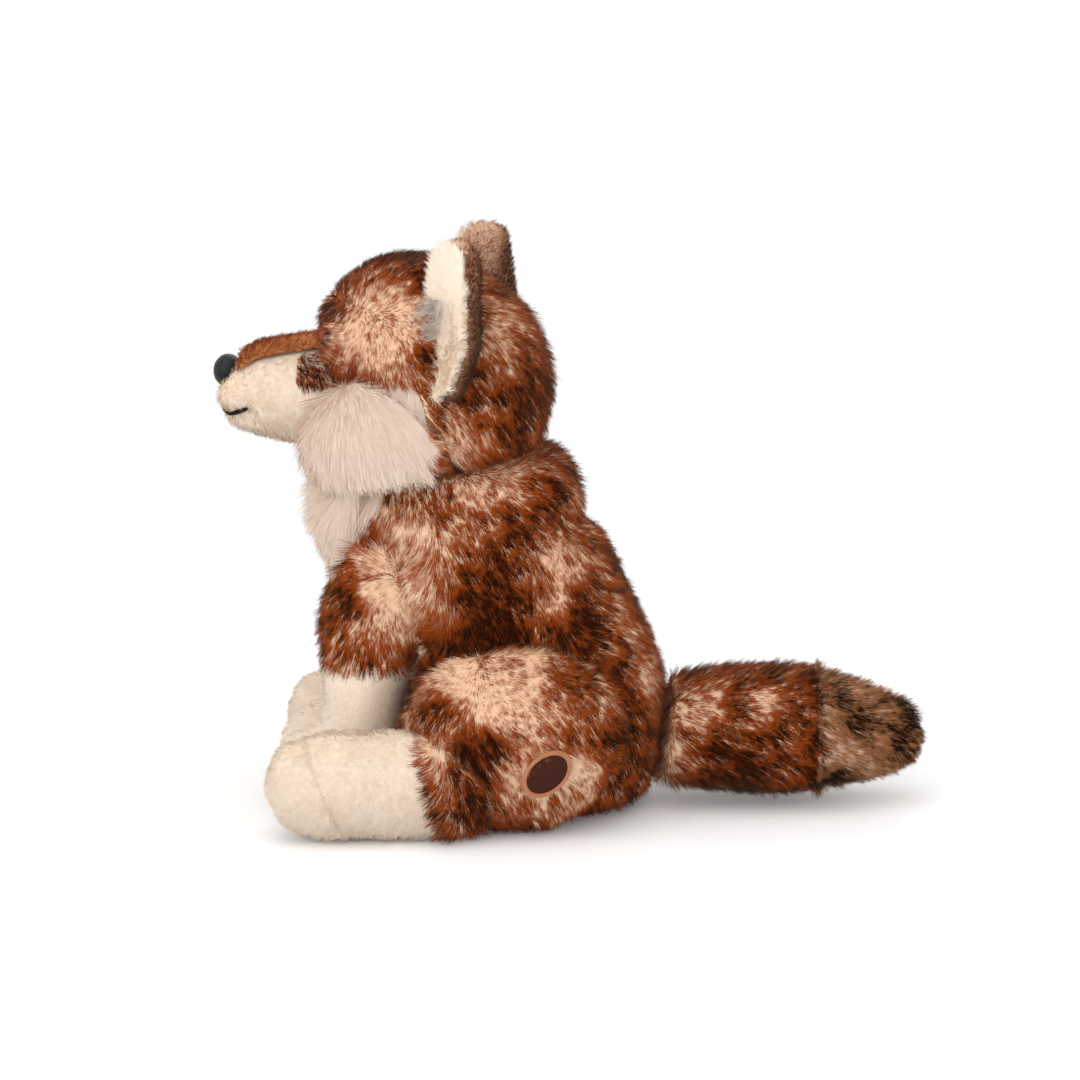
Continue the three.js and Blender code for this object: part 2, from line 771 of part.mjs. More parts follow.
for (const { name, out } of sides) {
  const leg = bodyAt(torso, point(out * forelegOut, shoulderPivotSet, shoulderPivotHeight));
  const drawn = bodyAt(torso, point(out * forelegOut, 0, 0));
  const seen = (solid) => solidOf(asSeenFrom(leg, geometryOf(solid), drawn));
  const midline = block(point(-farAway, -farAway, -farAway), point(midlineGap / 2, farAway, farAway));
  if (out < 0) midline.rotateZ(Math.PI);
  const chestInTheWay = [torsoInTheWay, chestPanelRoom].map((each) => asSeenFrom(leg, each, torso));
  const room = [
    ...chestInTheWay.flatMap((each) => sweptBy(each, legLift, 0, forelegSwing)),
    solidOf(asSeenFrom(leg, midline, torso)),
    floorSeenFrom(leg),
  ];
  const hem = (low, high) =>
    solidOf(asSeenFrom(leg, block(point(-farAway, -farAway, low), point(farAway, farAway, high)), torso));
  const cover = [seen(legInner(coverThickness)), ...room];
  addMesh(leg, `${name}_foreleg_sleeve`, cutBy(seen(legOuter), cover, hem(-farAway, sleeveHem)), brownFur);
  addMesh(leg, `${name}_forepaw`, cutBy(seen(legOuter), cover, hem(sleeveHem - seamGap, farAway)), creamPile);
  addMesh(leg, `${name}_foreleg_stuffing`, cutBy(seen(legInner(fillInset)), room), fibreFill);
}

// Hind legs: thigh, foot and sole, which swing together about the hip

const thighHalfSizes = point(thighHalfWidth, thighHalfDepth, thighHalfHeight);
const thighMiddle = (out) => point(out * thighOut, thighSet, thighHeight);
const footForm = (out) =>
  plumpForm(
    point(out * (toeOut - heelOut), toeSet - heelSet, 0).normalize(),
    [
      { at: point(out * heelOut, heelSet, heelHeight), wide: footHalfWidth, tall: footHalfHeight },
      { at: point(out * toeOut, toeSet, toeHeight), wide: footHalfWidth, tall: footHalfHeight },
    ],
    heelRounding,
    toeRounding,
  );

// The forelegs' lane between the feet, which the hind legs stay out of
const laneHalfWidth = forelegOut + forepawHalfWidth + seamGap;
const laneBack = hipSet - hipHalfDepth;
const forelegLane = block(
  point(-laneHalfWidth, -farAway, -farAway),
  point(laneHalfWidth, laneBack, farAway),
);

// Everything ahead of the sole's seam, a plane that leans back towards the floor, moved ahead by a gap
function aheadOfSole(gap) {
  const lean = Math.atan2(soleBottomSet - soleTopSet, soleTopHeight);
  return block(point(-farAway, -farAway, -farAway), point(farAway, -gap, farAway))
    .rotateX(lean)
    .translate(0, soleBottomSet, 0);
}

const badgePlace = (leg) => {
  const share = point(0, badgeBack / thighHalfDepth, -badgeDown / thighHalfHeight);
  share.x = Math.sqrt(1 - share.lengthSq());
  const place = share.clone().multiply(thighHalfSizes).add(thighMiddle(1)).sub(leg.position);
  const normal = share.clone().divide(thighHalfSizes).normalize();
  const flat = new THREE.Matrix4().lookAt(normal, point(0, 0, 0), upright);
  const turn = new THREE.Euler().setFromRotationMatrix(flat);
  const sunk = bodyAt(leg, place.addScaledVector(normal, -badgeSink), turn);
  return bodyAt(sunk, point(0, 0, 0), new THREE.Euler(0, 0, radians(badgeTilt)));
};

function ovalPlate(inset, hole, depth) {
  const oval = (path, less) =>
    path.absellipse(0, 0, badgeHalfLength - less, badgeHalfWidth - less, 0, 2 * Math.PI);
  const shape = oval(new THREE.Shape(), inset);
  if (hole > 0) shape.holes.push(oval(new THREE.Path(), hole));
  return new THREE.ExtrudeGeometry(shape, { depth, bevelEnabled: false, curveSegments: innerSides });
}

for (const { name, out } of sides) {
  const leg = bodyAt(torso, point(out * hipPivotOut, hipPivotSet, hipPivotHeight));
  const seen = (geometry) => asSeenFrom(leg, geometry, torso);
  const room = [
    ...sweptBy(seen(torsoInTheWay), legLift, 0, hindLegSwing),
    solidOf(seen(forelegLane)),
    floorSeenFrom(leg),
  ];
  const thigh = (grow) => solidOf(seen(egg(thighMiddle(out), thighHalfSizes, grow)));
  const thighInner = (inset) =>
    solidOf(seen(egg(thighMiddle(out), thighHalfSizes, -inset, innerSides, innerSides / 2)));
  const badgeRoom = [];
  if (out > 0) {
    const place = badgePlace(leg);
    const inset = badgeBorder + seamGap;
    const border = ovalPlate(0, badgeBorder, badgeBorderThickness);
    addMesh(place, "hip_badge", solidOf(ovalPlate(inset, 0, badgeThickness)), badgeThread);
    addMesh(place, "hip_badge_border", solidOf(border), borderThread);
    const pocket = ovalPlate(-seamGap, 0, farAway).translate(0, 0, -seamGap);
    badgeRoom.push(solidOf(asSeenFrom(leg, pocket, place)));
  }
  addMesh(leg, `${name}_thigh`, cutBy(thigh(0), thighInner(coverThickness), room, badgeRoom), brownFur);
  addMesh(leg, `${name}_thigh_stuffing`, cutBy(thighInner(fillInset), room), fibreFill);

  const footRoom = [...room, thigh(seamGap)];
  const footOuter = solidOf(seen(plump(footForm(out))));
  const footInner = (inset) => solidOf(seen(inside(footForm(out), inset)));
  const front = (gap) => solidOf(seen(aheadOfSole(gap)));
  const footShell = cutBy(footOuter, footInner(coverThickness), footRoom);
  addMesh(leg, `${name}_hind_foot`, cutBy(footShell, front(0)), creamPile);
  addMesh(leg, `${name}_sole`, cutBy(footShell.intersect(front(seamGap))), creamPile);
  addMesh(leg, `${name}_hind_foot_stuffing`, cutBy(footInner(fillInset), footRoom), fibreFill);
}

// Tail: a main cover, a tip and one fill, which swing together at the rump

const tail = bodyAt(torso, point(0, tailPivotSet, tailPivotHeight));
const tailForm = plumpForm(
  behind,
  [
    { at: point(0, tailRootSet, tailPivotHeight), wide: tailRootHalfWidth, tall: tailRootHalfHeight },
    { at: point(0, tailThickSet, tailPivotHeight), wide: tailHalfWidth, tall: tailHalfHeight },
    { at: point(0, tailSeam, tailPivotHeight), wide: tailSeamHalfWidth, tall: tailSeamHalfHeight },
    { at: point(0, tailThinSet, tailThinHeight), wide: tailThinHalfWidth, tall: tailThinHalfHeight },
  ],
  tailRootRounding,
  tailTipRounding,
);
const seenFromTail = (geometry) => solidOf(asSeenFrom(tail, geometry, torso));
const tailRoom = [
  ...sweptBy(asSeenFrom(tail, torsoInTheWay, torso), upright, -tailSwing, tailSwing),
  floorSeenFrom(tail),
];
const tailPast = (from, to) =>
  seenFromTail(block(point(-farAway, from, -farAway), point(farAway, to, farAway)));
const tailShell = cutBy(
  seenFromTail(plump(tailForm)),
  seenFromTail(inside(tailForm, coverThickness)),
  tailRoom,
);
addMesh(tail, "tail_cover", cutBy(tailShell, tailPast(tailSeam, farAway)), brownFur);
addMesh(tail, "tail_tip", cutBy(tailShell, tailPast(-farAway, tailSeam + seamGap)), greyFur);
addMesh(tail, "tail_stuffing", cutBy(seenFromTail(inside(tailForm, fillInset)), tailRoom), fibreFill);

export default wolf;
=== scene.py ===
import json
import math

import bpy
import numpy as np
from mathutils import Matrix, Vector, noise
from mathutils.bvhtree import BVHTree
from mathutils.kdtree import KDTree


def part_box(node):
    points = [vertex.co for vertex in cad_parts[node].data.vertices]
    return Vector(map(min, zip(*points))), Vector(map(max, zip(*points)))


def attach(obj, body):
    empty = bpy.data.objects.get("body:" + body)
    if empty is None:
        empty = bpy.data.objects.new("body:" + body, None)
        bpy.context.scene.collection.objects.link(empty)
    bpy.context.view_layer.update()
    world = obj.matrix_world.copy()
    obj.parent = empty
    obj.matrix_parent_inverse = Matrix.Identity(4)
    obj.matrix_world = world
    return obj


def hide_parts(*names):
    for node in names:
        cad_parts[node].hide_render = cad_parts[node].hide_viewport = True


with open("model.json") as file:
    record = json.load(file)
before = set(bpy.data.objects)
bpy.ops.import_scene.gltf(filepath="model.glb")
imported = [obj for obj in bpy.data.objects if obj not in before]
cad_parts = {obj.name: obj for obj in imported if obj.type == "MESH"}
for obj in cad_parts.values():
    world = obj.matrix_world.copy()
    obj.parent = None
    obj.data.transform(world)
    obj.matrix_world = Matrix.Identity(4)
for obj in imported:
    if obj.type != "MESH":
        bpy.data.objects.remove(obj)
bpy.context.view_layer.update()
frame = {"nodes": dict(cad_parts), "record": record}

noise.seed_set(7)  # or else noise vectors differ from run to run

# Studio: a white table top and softboxes overhead, beside the lens, in front, behind and on the far side.
# The wolf is seen from its left, a little from above, through a long lens.
def linear(red, green, blue):
    """A colour as a paint chart gives it, 0 to 255, in the units that the shaders use."""
    steps = [value / 255 for value in (red, green, blue)]
    return tuple(s / 12.92 if s <= 0.04045 else ((s + 0.055) / 1.055) ** 2.4 for s in steps) + (1,)


def fed(tree, node, **inputs):
    """Sets a node's inputs; each is a value, or the output that it is linked to."""
    for name, value in inputs.items():
        socket = node.inputs[int(name[1:]) if name[0] == "_" else name.replace("__", " ")]
        if isinstance(value, bpy.types.NodeSocket):
            tree.links.new(value, socket)
        else:
            socket.default_value = value
    return node


def node_in(tree, kind, **inputs):
    return fed(tree, tree.nodes.new(kind), **inputs)


def backdrop_light(tree):
    """1 for what the camera sees, directly or in a gloss or a glass, and 0 for light on the toy."""
    path = tree.nodes.new("ShaderNodeLightPath")
    seen = node_in(tree, "ShaderNodeMath", _0=path.outputs["Is Camera Ray"], _1=path.outputs["Is Glossy Ray"])
    seen.operation = "MAXIMUM"
    clear = node_in(tree, "ShaderNodeMath", _0=seen.outputs[0], _1=path.outputs["Is Transmission Ray"])
    clear.operation = "MAXIMUM"
    return clear.outputs[0]


scene = bpy.context.scene
scene.view_settings.view_transform = "Standard"
world = bpy.data.worlds.new("white studio")
scene.world = world
world.use_nodes = True
sky = world.node_tree
sky.nodes.clear()
strength = node_in(sky, "ShaderNodeMapRange", Value=backdrop_light(sky), To__Min=0.68, To__Max=1.0)
room = node_in(sky, "ShaderNodeBackground", Color=(1, 1, 1, 1), Strength=strength.outputs[0])
node_in(sky, "ShaderNodeOutputWorld", Surface=room.outputs[0])

bpy.ops.object.select_all(action="DESELECT")
bpy.ops.mesh.primitive_plane_add(size=40, location=(0, 0, -0.0006))
table_top = bpy.context.object
table_top.name = "table_top"
white_board = bpy.data.materials.new("white board")
white_board.use_nodes = True
board = white_board.node_tree
board.nodes.clear()
board_seen = backdrop_light(board)
board_white = node_in(board, "ShaderNodeMapRange", Value=board_seen, To__Min=0.95, To__Max=1.02)
board_face = node_in(board, "ShaderNodeBsdfDiffuse", Color=board_white.outputs[0])
board_place = board.nodes.new("ShaderNodeTexCoord")
board_reach = node_in(board, "ShaderNodeVectorMath", _0=board_place.outputs["Object"])
board_reach.operation = "LENGTH"
board_far = node_in(
    board, "ShaderNodeMapRange",
    Value=board_reach.outputs["Value"], From__Min=0.25, From__Max=0.7, To__Max=board_seen,
)
board_glow = node_in(board, "ShaderNodeEmission", Strength=1.0)
board_mix = node_in(
    board, "ShaderNodeMixShader", _0=board_far.outputs[0], _1=board_face.outputs[0], _2=board_glow.outputs[0],
)
node_in(board, "ShaderNodeOutputMaterial", Surface=board_mix.outputs[0])
table_top.data.materials.append(white_board)

for lamp_name, place, size, power in (
    ("softbox_top", (0.25, -0.15, 1.15), 0.9, 3.4),
    ("softbox_lens", (1.2, -0.3, 0.6), 0.9, 3.8),
    ("softbox_front", (0.75, -1.0, 0.75), 0.8, 3.9),
    ("softbox_back", (0.55, 1.05, 0.7), 0.8, 2.4),
    ("softbox_far", (-1.1, 0.1, 0.8), 0.8, 2.7),
):
    lamp = bpy.data.lights.new(lamp_name, "AREA")
    lamp.size = size
    lamp.energy = power
    softbox = bpy.data.objects.new(lamp_name, lamp)
    softbox.location = place
    softbox.rotation_euler = (Vector((0, -0.01, 0.11)) - Vector(place)).to_track_quat("-Z", "Y").to_euler()
    scene.collection.objects.link(softbox)

aim = Vector((0, -0.0084, 0.113))
rise, camera_distance = math.radians(11), 1.3
lens = bpy.data.cameras.new("long_lens")
lens.sensor_width = 36
lens.lens = 103.2
lens.clip_start = 0.05
camera = bpy.data.objects.new("long_lens", lens)
camera.location = aim + camera_distance * Vector((math.cos(rise), 0, math.sin(rise)))
camera.rotation_euler = (aim - camera.location).to_track_quat("-Z", "Y").to_euler()
scene.collection.objects.link(camera)
scene.camera = camera


# Torso: a sewn sock of long fur cloth, stuffed with fibre and closed by a panel under the seat.
# The pile is pale tan at its roots and dark brown at its tips, so it looks light where it parts.
def edited(operator, **settings):
    """Runs an operator of edit mode on the whole of the active mesh."""
    bpy.ops.object.mode_set(mode="EDIT")
    bpy.ops.mesh.select_all(action="SELECT")
    operator(**settings)
    bpy.ops.object.mode_set(mode="OBJECT")


def merged_copy(name, node_names):
    """One loose object made of copies of CAD solids, with their doubled corners merged."""
    bpy.ops.object.select_all(action="DESELECT")
    for node_name in node_names:
        solid = frame["nodes"][node_name]
        mesh = solid.data.copy()
        mesh.transform(solid.matrix_world)
        copy = bpy.data.objects.new(name, mesh)
        scene.collection.objects.link(copy)
        copy.select_set(True)
        bpy.context.view_layer.objects.active = copy
    if len(node_names) > 1:
        bpy.ops.object.join()
    piece = bpy.context.object
    piece.data.materials.clear()
    edited(bpy.ops.mesh.remove_doubles, threshold=1e-5)
    piece.name = name
    return piece


def active_only(piece):
    bpy.ops.object.select_all(action="DESELECT")
    piece.select_set(True)
    bpy.context.view_layer.objects.active = piece


def applied(piece, kind, **settings):
    """Adds a modifier with these settings and applies it."""
    active_only(piece)
    modifier = piece.modifiers.new(kind.lower(), kind)
    for setting, value in settings.items():
        setattr(modifier, setting, value)
    bpy.ops.object.modifier_apply(modifier=modifier.name)


def corner_values(mesh, kind="co"):
    """The places of a mesh's corners, or their normals."""
    values = np.empty(3 * len(mesh.vertices))
    mesh.vertices.foreach_get(kind, values)
    return values.reshape(-1, 3)


def outer_shell(name, node_names, voxel):
    """The outside of some CAD solids as one closed skin of even faces."""
    skin = merged_copy(name, node_names)
    skin.data.remesh_voxel_size = voxel
    bpy.ops.object.voxel_remesh()
    edited(bpy.ops.mesh.separate, type="LOOSE")
    shells = sorted(bpy.context.selected_objects, key=lambda shell: shell.dimensions.length)
    for inner in shells[:-1]:
        bpy.data.objects.remove(inner)
    skin = shells[-1]
    skin.name = name
    active_only(skin)
    return skin


settling_frames = 20


def stuffed(skin, pressure=4.0, cap=0.003):
    """Blows a skin up as its stuffing does, with no point moving further than the cap."""
    active_only(skin)
    sewn = corner_values(skin.data)
    cloth = skin.modifiers.new("stuffing", "CLOTH")
    cloth.settings.use_pressure = True
    cloth.settings.uniform_pressure_force = pressure
    cloth.settings.effector_weights.gravity = 0
    cloth.settings.quality = 4
    cloth.collision_settings.use_collision = False
    cloth.point_cache.frame_end = settling_frames
    for step in range(1, settling_frames + 1):
        scene.frame_set(step)
    swollen = corner_values(skin.evaluated_get(bpy.context.evaluated_depsgraph_get()).data)
    moved = swollen - sewn
    far = np.linalg.norm(moved, axis=1, keepdims=True)
    moved *= np.minimum(1, cap / np.maximum(far, 1e-9))
    skin.modifiers.remove(cloth)
    scene.frame_set(1)
    skin.data.vertices.foreach_set("co", (sewn + moved).ravel())
    applied(skin, "SMOOTH", factor=0.5, iterations=8)


def drawn_in(skin, depth, floor=0.0004):
    """Moves a skin inwards, so that the pile that stands on it fills the room it had."""
    places = corner_values(skin.data)
    deep = depth(places)[:, None] if callable(depth) else depth
    places -= deep * corner_values(skin.data, "normal")
    places[:, 2] = np.maximum(places[:, 2], floor)
    skin.data.vertices.foreach_set("co", places.ravel())
    skin.data.update()
    bpy.ops.object.shade_smooth()


def stuffed_skin(name, node_names, voxel, depth, **stuffing):
    """The cover of some CAD solids, blown up and then drawn in by the depth of its pile."""
    skin = outer_shell(name, node_names, voxel)
    stuffed(skin, **stuffing)
    drawn_in(skin, depth)
    return skin


def triangles(mesh):
    mesh.calc_loop_triangles()
    corners = np.empty(3 * len(mesh.loop_triangles), dtype=np.int32)
    mesh.loop_triangles.foreach_get("vertices", corners)
    return corners.reshape(-1, 3)


def unit(vectors):
    return vectors / np.maximum(np.linalg.norm(vectors, axis=1, keepdims=True), 1e-12)


def blotches(places, size, shift=0.0):
    """Smooth noise from -1 to 1 with spots of about that size."""
    return np.array([noise.noise(Vector(place) / size + Vector((shift, 0, 0))) for place in places])


def swirls(places, size):
    """Smooth noise vectors that turn slowly, over about that distance."""
    return np.array([noise.noise_vector(Vector(place) / size) for place in places])


def on_left(places):
    """Places on the right side, mirrored to the left."""
    return places * np.sign(places[:, :1]) ** np.array([1, 0, 0])


sat_on_height, covered_within = 0.002, 0.0035


def planted(skin, per_mm2, sewn_over, only, draw):
    """Roots scattered over a skin with the normal at each, and none under what is sewn over it."""
    places, normals, faces = corner_values(skin.data), corner_values(skin.data, "normal"), triangles(skin.data)
    a, b, c = (places[faces[:, i]] for i in range(3))
    area = np.linalg.norm(np.cross(b - a, c - a), axis=1) / 2
    count = int(area.sum() * 1e6 * per_mm2)
    face = draw.choice(len(faces), count, p=area / area.sum())
    share = draw.dirichlet((1, 1, 1), count)
    root = np.einsum("nij,ni->nj", places[faces[face]], share)
    normal = unit(np.einsum("nij,ni->nj", normals[faces[face]], share))
    bare = (root[:, 2] < sat_on_height) & (normal[:, 2] < -0.3)
    if only:
        bare |= ~only(root, normal)
    for node_name in sewn_over:
        solid = frame["nodes"][node_name]
        cover = BVHTree.FromPolygons(
            [solid.matrix_world @ corner.co for corner in solid.data.vertices],
            [list(face.vertices) for face in solid.data.polygons],
        )
        for i in np.flatnonzero(~bare):
            bare[i] = cover.ray_cast(Vector(root[i]), Vector(normal[i]), covered_within)[0] is not None
    return root[~bare], normal[~bare]


def pile(name, skin, per_mm2, length, width, lean, comb, tone, seed, sewn_over=(), only=None,
         tuft=12, gather=0.3, stray=6, speck=0.13, smooth=0.8):
    """Fur on a skin: tapered strands that lean along the comb and gather into pointed tufts.

    Each strand's map runs from its tone across and from root to tip upwards.
    Light passes the fine fibres, so they cast no shadow.
    """
    draw = np.random.default_rng(seed)
    root, normal = planted(skin, per_mm2, sewn_over, only, draw)
    count = len(root)
    leaders = draw.choice(count, max(1, count // tuft), replace=False)
    near = KDTree(len(leaders))
    for i, leader in enumerate(leaders):
        near.insert(root[leader], i)
    near.balance()
    of_tuft = np.array([near.find(place)[1] for place in root])
    flow = comb(root, normal)
    flow = unit(flow - normal * (flow * normal).sum(1, keepdims=True))
    aside = np.cross(normal, flow)
    swing = np.radians(draw.normal(0, stray, len(leaders))[of_tuft] + draw.normal(0, stray, count))[:, None]
    flow = flow * np.cos(swing) + aside * np.sin(swing)
    bend = np.radians(np.clip(lean + draw.normal(0, 5, len(leaders))[of_tuft] + draw.normal(0, 5, count), 5, 86))
    long = length(root) if callable(length) else np.full(count, length)
    long = long * draw.uniform(0.8, 1.2, len(leaders))[of_tuft] * draw.uniform(0.75, 1.1, count)
    tip = root + long[:, None] * (normal * np.cos(bend)[:, None] + flow * np.sin(bend)[:, None])
    tip += gather * (tip[leaders[of_tuft]] - tip)
    along = unit(tip - root)
    flat = unit(np.cross(along, normal))
    roll = np.radians(draw.normal(0, 25, count))[:, None]
    half = 0.5 * width * (flat * np.cos(roll) + np.cross(flat, along) * np.sin(roll))
    half *= draw.uniform(0.7, 1.2, count)[:, None]
    spots = np.stack([root - half, root + half, tip + 0.3 * half, tip - 0.3 * half], 1)
    spots[:, :, 2] = np.maximum(spots[:, :, 2], 0.0005)
    mesh = bpy.data.meshes.new(name)
    mesh.vertices.add(4 * count)
    mesh.vertices.foreach_set("co", spots.ravel())
    mesh.loops.add(4 * count)
    mesh.loops.foreach_set("vertex_index", np.arange(4 * count))
    mesh.polygons.add(count)
    mesh.polygons.foreach_set("loop_start", 4 * np.arange(count))
    mesh.update(calc_edges=True)
    shade = tone(root) + draw.normal(0, speck, len(leaders))[of_tuft] + draw.normal(0, 0.25 * speck, count)
    across = 0.02 + 0.96 * np.clip(shade, 0, 1)[:, None] + 0.003 * np.array([-1, 1, 1, -1])
    upward = np.broadcast_to([0.01, 0.01, 0.99, 0.99], (count, 4))
    for map_name in ("strand", "OFBake"):
        mesh.uv_layers.new(name=map_name).data.foreach_set("uv", np.stack([across, upward], 2).ravel())
    mesh.uv_layers.active = mesh.uv_layers["strand"]
    mesh.uv_layers["strand"].active_render = True
    mesh.shade_smooth()
    outwards = np.cross(flat, along)
    outwards *= np.sign((outwards * normal).sum(1, keepdims=True))
    facing = unit(smooth * normal + (1 - smooth) * outwards)
    mesh.normals_split_custom_set_from_vertices(np.repeat(facing, 4, axis=0).tolist())
    fur = bpy.data.objects.new(name, mesh)
    fur.visible_shadow = False
    scene.collection.objects.link(fur)
    return fur


tipping = bpy.data.node_groups.new("tipped strand", "ShaderNodeTree")
for socket_name in ("Pale", "Middle", "Dark"):
    tipping.interface.new_socket(socket_name, in_out="INPUT", socket_type="NodeSocketColor")
tipping.interface.new_socket("Colour", in_out="OUTPUT", socket_type="NodeSocketColor")
dye_in = tipping.nodes.new("NodeGroupInput")
strand_map = tipping.nodes.new("ShaderNodeUVMap")
strand_map.uv_map = "strand"
place_on = node_in(tipping, "ShaderNodeSeparateXYZ", Vector=strand_map.outputs[0])
dark_from = node_in(tipping, "ShaderNodeMapRange", Value=place_on.outputs[0], To__Min=1.28, To__Max=0.25)
middle_from = node_in(tipping, "ShaderNodeMath", _0=dark_from.outputs[0], _1=0.6)
middle_full = node_in(tipping, "ShaderNodeMath", _0=dark_from.outputs[0], _1=0.25)
middle_from.operation = middle_full.operation = "SUBTRACT"
dark_full = node_in(tipping, "ShaderNodeMath", _0=dark_from.outputs[0], _1=0.3)
to_middle = node_in(
    tipping, "ShaderNodeMapRange",
    Value=place_on.outputs[1], From__Min=middle_from.outputs[0], From__Max=middle_full.outputs[0],
)
to_dark = node_in(
    tipping, "ShaderNodeMapRange",
    Value=place_on.outputs[1], From__Min=dark_from.outputs[0], From__Max=dark_full.outputs[0],
)
to_middle.interpolation_type = to_dark.interpolation_type = "SMOOTHSTEP"
dye_middle = node_in(
    tipping, "ShaderNodeMixRGB",
    Fac=to_middle.outputs[0], Color1=dye_in.outputs["Pale"], Color2=dye_in.outputs["Middle"],
)
dye_dark = node_in(
    tipping, "ShaderNodeMixRGB",
    Fac=to_dark.outputs[0], Color1=dye_middle.outputs[0], Color2=dye_in.outputs["Dark"],
)
dye_out = tipping.nodes.new("NodeGroupOutput")
tipping.links.new(dye_dark.outputs[0], dye_out.inputs["Colour"])


def plain_finish(name):
    """A new material, its node tree and its surface shader."""
    finish = bpy.data.materials.new(name)
    finish.use_nodes = True
    return finish, finish.node_tree, finish.node_tree.nodes["Principled BSDF"]


def two_toned(tree, shader, mask, dark, light):
    """Colours a surface between two tones by a mask."""
    mixed = node_in(tree, "ShaderNodeMixRGB", Fac=mask, Color1=linear(*dark), Color2=linear(*light))
    fed(tree, shader, Base__Color=mixed.outputs[0])


def bumpy(tree, shader, height, strength, distance):
    bumps = node_in(tree, "ShaderNodeBump", Strength=strength, Distance=distance, Height=height)
    fed(tree, shader, Normal=bumps.outputs[0])


def strand_finish(name, pale, middle, dark):
    """Soft synthetic fibre, dyed from its root to its tip."""
    finish, tree, fibre = plain_finish(name)
    dyed = tree.nodes.new("ShaderNodeGroup")
    dyed.node_tree = tipping
    for socket_name, colour in (("Pale", pale), ("Middle", middle), ("Dark", dark)):
        dyed.inputs[socket_name].default_value = linear(*colour)
    fed(
        tree, fibre, Base__Color=dyed.outputs["Colour"], Roughness=0.8, Specular__IOR__Level=0.04,
        Sheen__Weight=0.15, Sheen__Tint=linear(255, 214, 176),
    )
    return finish


def backing_finish(name, light, dark, size, rough=0.6):
    """The knitted backing of fur cloth with the roots of its pile, blotched and bumpy."""
    finish, tree, cloth = plain_finish(name)
    where = tree.nodes.new("ShaderNodeTexCoord")
    cloud = node_in(tree, "ShaderNodeTexNoise", Vector=where.outputs["Object"], Scale=1 / size, Detail=4.0)
    two_toned(tree, cloth, cloud.outputs["Fac"], dark, light)
    roots = node_in(tree, "ShaderNodeTexNoise", Vector=where.outputs["Object"], Scale=1400.0, Detail=2.0)
    bumpy(tree, cloth, roots.outputs["Fac"], rough, 0.0006)
    fed(tree, cloth, Roughness=0.95, Specular__IOR__Level=0.1)
    return finish


def sewn_on(piece, body, finish, replaced=()):
    """Dresses a finished piece, ties it to its body and hides the solids it stands for."""
    piece.data.materials.append(finish)
    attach(piece, body)
    if replaced:
        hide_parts(*replaced)


def furred(body, slot_name, strands, *planting, **brushing):
    """Grows a pile, and dresses and ties it as the skin under it."""
    sewn_on(pile(*planting, **brushing), body, strands)


# Where the long fur parts and shows its pale roots, or lies close and shows its dark tips,
# and where painted shade darkens the crease over the thigh, on top of its dark tips:
# place in metres on the left side, mirrored on the right, with the reach and the change of tone.
fur_patches = np.array([
    (0.038, -0.062, 0.098, 0.011, -0.80), (0.038, -0.058, 0.084, 0.007, -0.35), (0.036, -0.074, 0.088, 0.008, -0.30),
    (0.034, -0.059, 0.123, 0.009, -0.35), (0.032, -0.066, 0.132, 0.008, -0.35), (0.035, -0.037, 0.140, 0.010, -0.40),
    (0.025, -0.025, 0.150, 0.006, -0.35), (0.029, -0.003, 0.117, 0.007, -0.45), (0.032, -0.001, 0.106, 0.008, -0.50),
    (0.037, -0.004, 0.094, 0.006, -0.45), (0.025, 0.018, 0.093, 0.006, -0.40), (0.029, 0.022, 0.079, 0.007, -0.35),
    (0.023, 0.033, 0.064, 0.006, -0.40), (0.053, -0.039, 0.072, 0.007, -0.60), (0.061, -0.025, 0.063, 0.009, -0.50),
    (0.064, -0.016, 0.054, 0.009, -0.45), (0.064, -0.050, 0.042, 0.006, -0.35), (0.060, 0.007, 0.030, 0.008, -0.70),
    (0.065, -0.021, 0.030, 0.007, -0.65), (0.055, 0.003, 0.014, 0.006, -0.60), (0.059, -0.012, 0.014, 0.005, -0.45),
    (0.052, -0.047, 0.068, 0.006, -0.60), (0.050, -0.014, 0.074, 0.006, -0.55), (0.037, -0.063, 0.218, 0.009, -0.50),
    (0.041, -0.069, 0.202, 0.009, -0.45), (0.033, -0.084, 0.204, 0.007, -0.45), (0.030, -0.026, 0.209, 0.005, -0.45),
    (0.035, -0.026, 0.198, 0.005, -0.40), (0.041, -0.045, 0.162, 0.007, -0.45), (0.020, 0.057, 0.042, 0.006, -0.50),
    (0.017, 0.062, 0.049, 0.006, -0.45), (0.019, 0.082, 0.049, 0.005, -0.40), (0.015, 0.042, 0.016, 0.006, -0.50),
    (0.021, 0.049, 0.030, 0.005, -0.30), (0.022, -0.006, 0.146, 0.008, 0.30), (0.037, -0.025, 0.112, 0.012, 0.10),
    # The darkest marks here, along the top of the thigh, are painted shade of the crease over the dark tips.
    (0.038, -0.039, 0.095, 0.011, 0.10), (0.041, -0.025, 0.081, 0.009, 0.90), (0.033, 0.008, 0.092, 0.008, 0.30),
    (0.039, 0.004, 0.080, 0.010, 0.45), (0.040, -0.046, 0.082, 0.008, 0.50), (0.033, -0.088, 0.094, 0.008, 0.25),
    (0.064, -0.035, 0.041, 0.009, 0.50), (0.051, 0.021, 0.044, 0.008, 0.50), (0.047, 0.021, 0.025, 0.007, 0.45),
    (0.067, -0.037, 0.019, 0.010, 0.35), (0.057, -0.047, 0.059, 0.006, 0.30), (0.009, -0.067, 0.232, 0.016, 0.22),
    (0.026, -0.055, 0.226, 0.006, 0.50), (0.016, -0.101, 0.185, 0.008, 0.50), (0.015, -0.093, 0.215, 0.005, 0.30),
    (0.030, -0.015, 0.176, 0.010, 0.30), (0.044, -0.058, 0.200, 0.005, 0.30), (0.035, -0.025, 0.167, 0.006, 0.25),
    (0.030, -0.096, 0.189, 0.006, 0.25), (0.036, -0.089, 0.189, 0.005, 0.45), (0.024, 0.065, 0.032, 0.008, 0.30),
    (0.020, 0.076, 0.016, 0.007, 0.30),
])


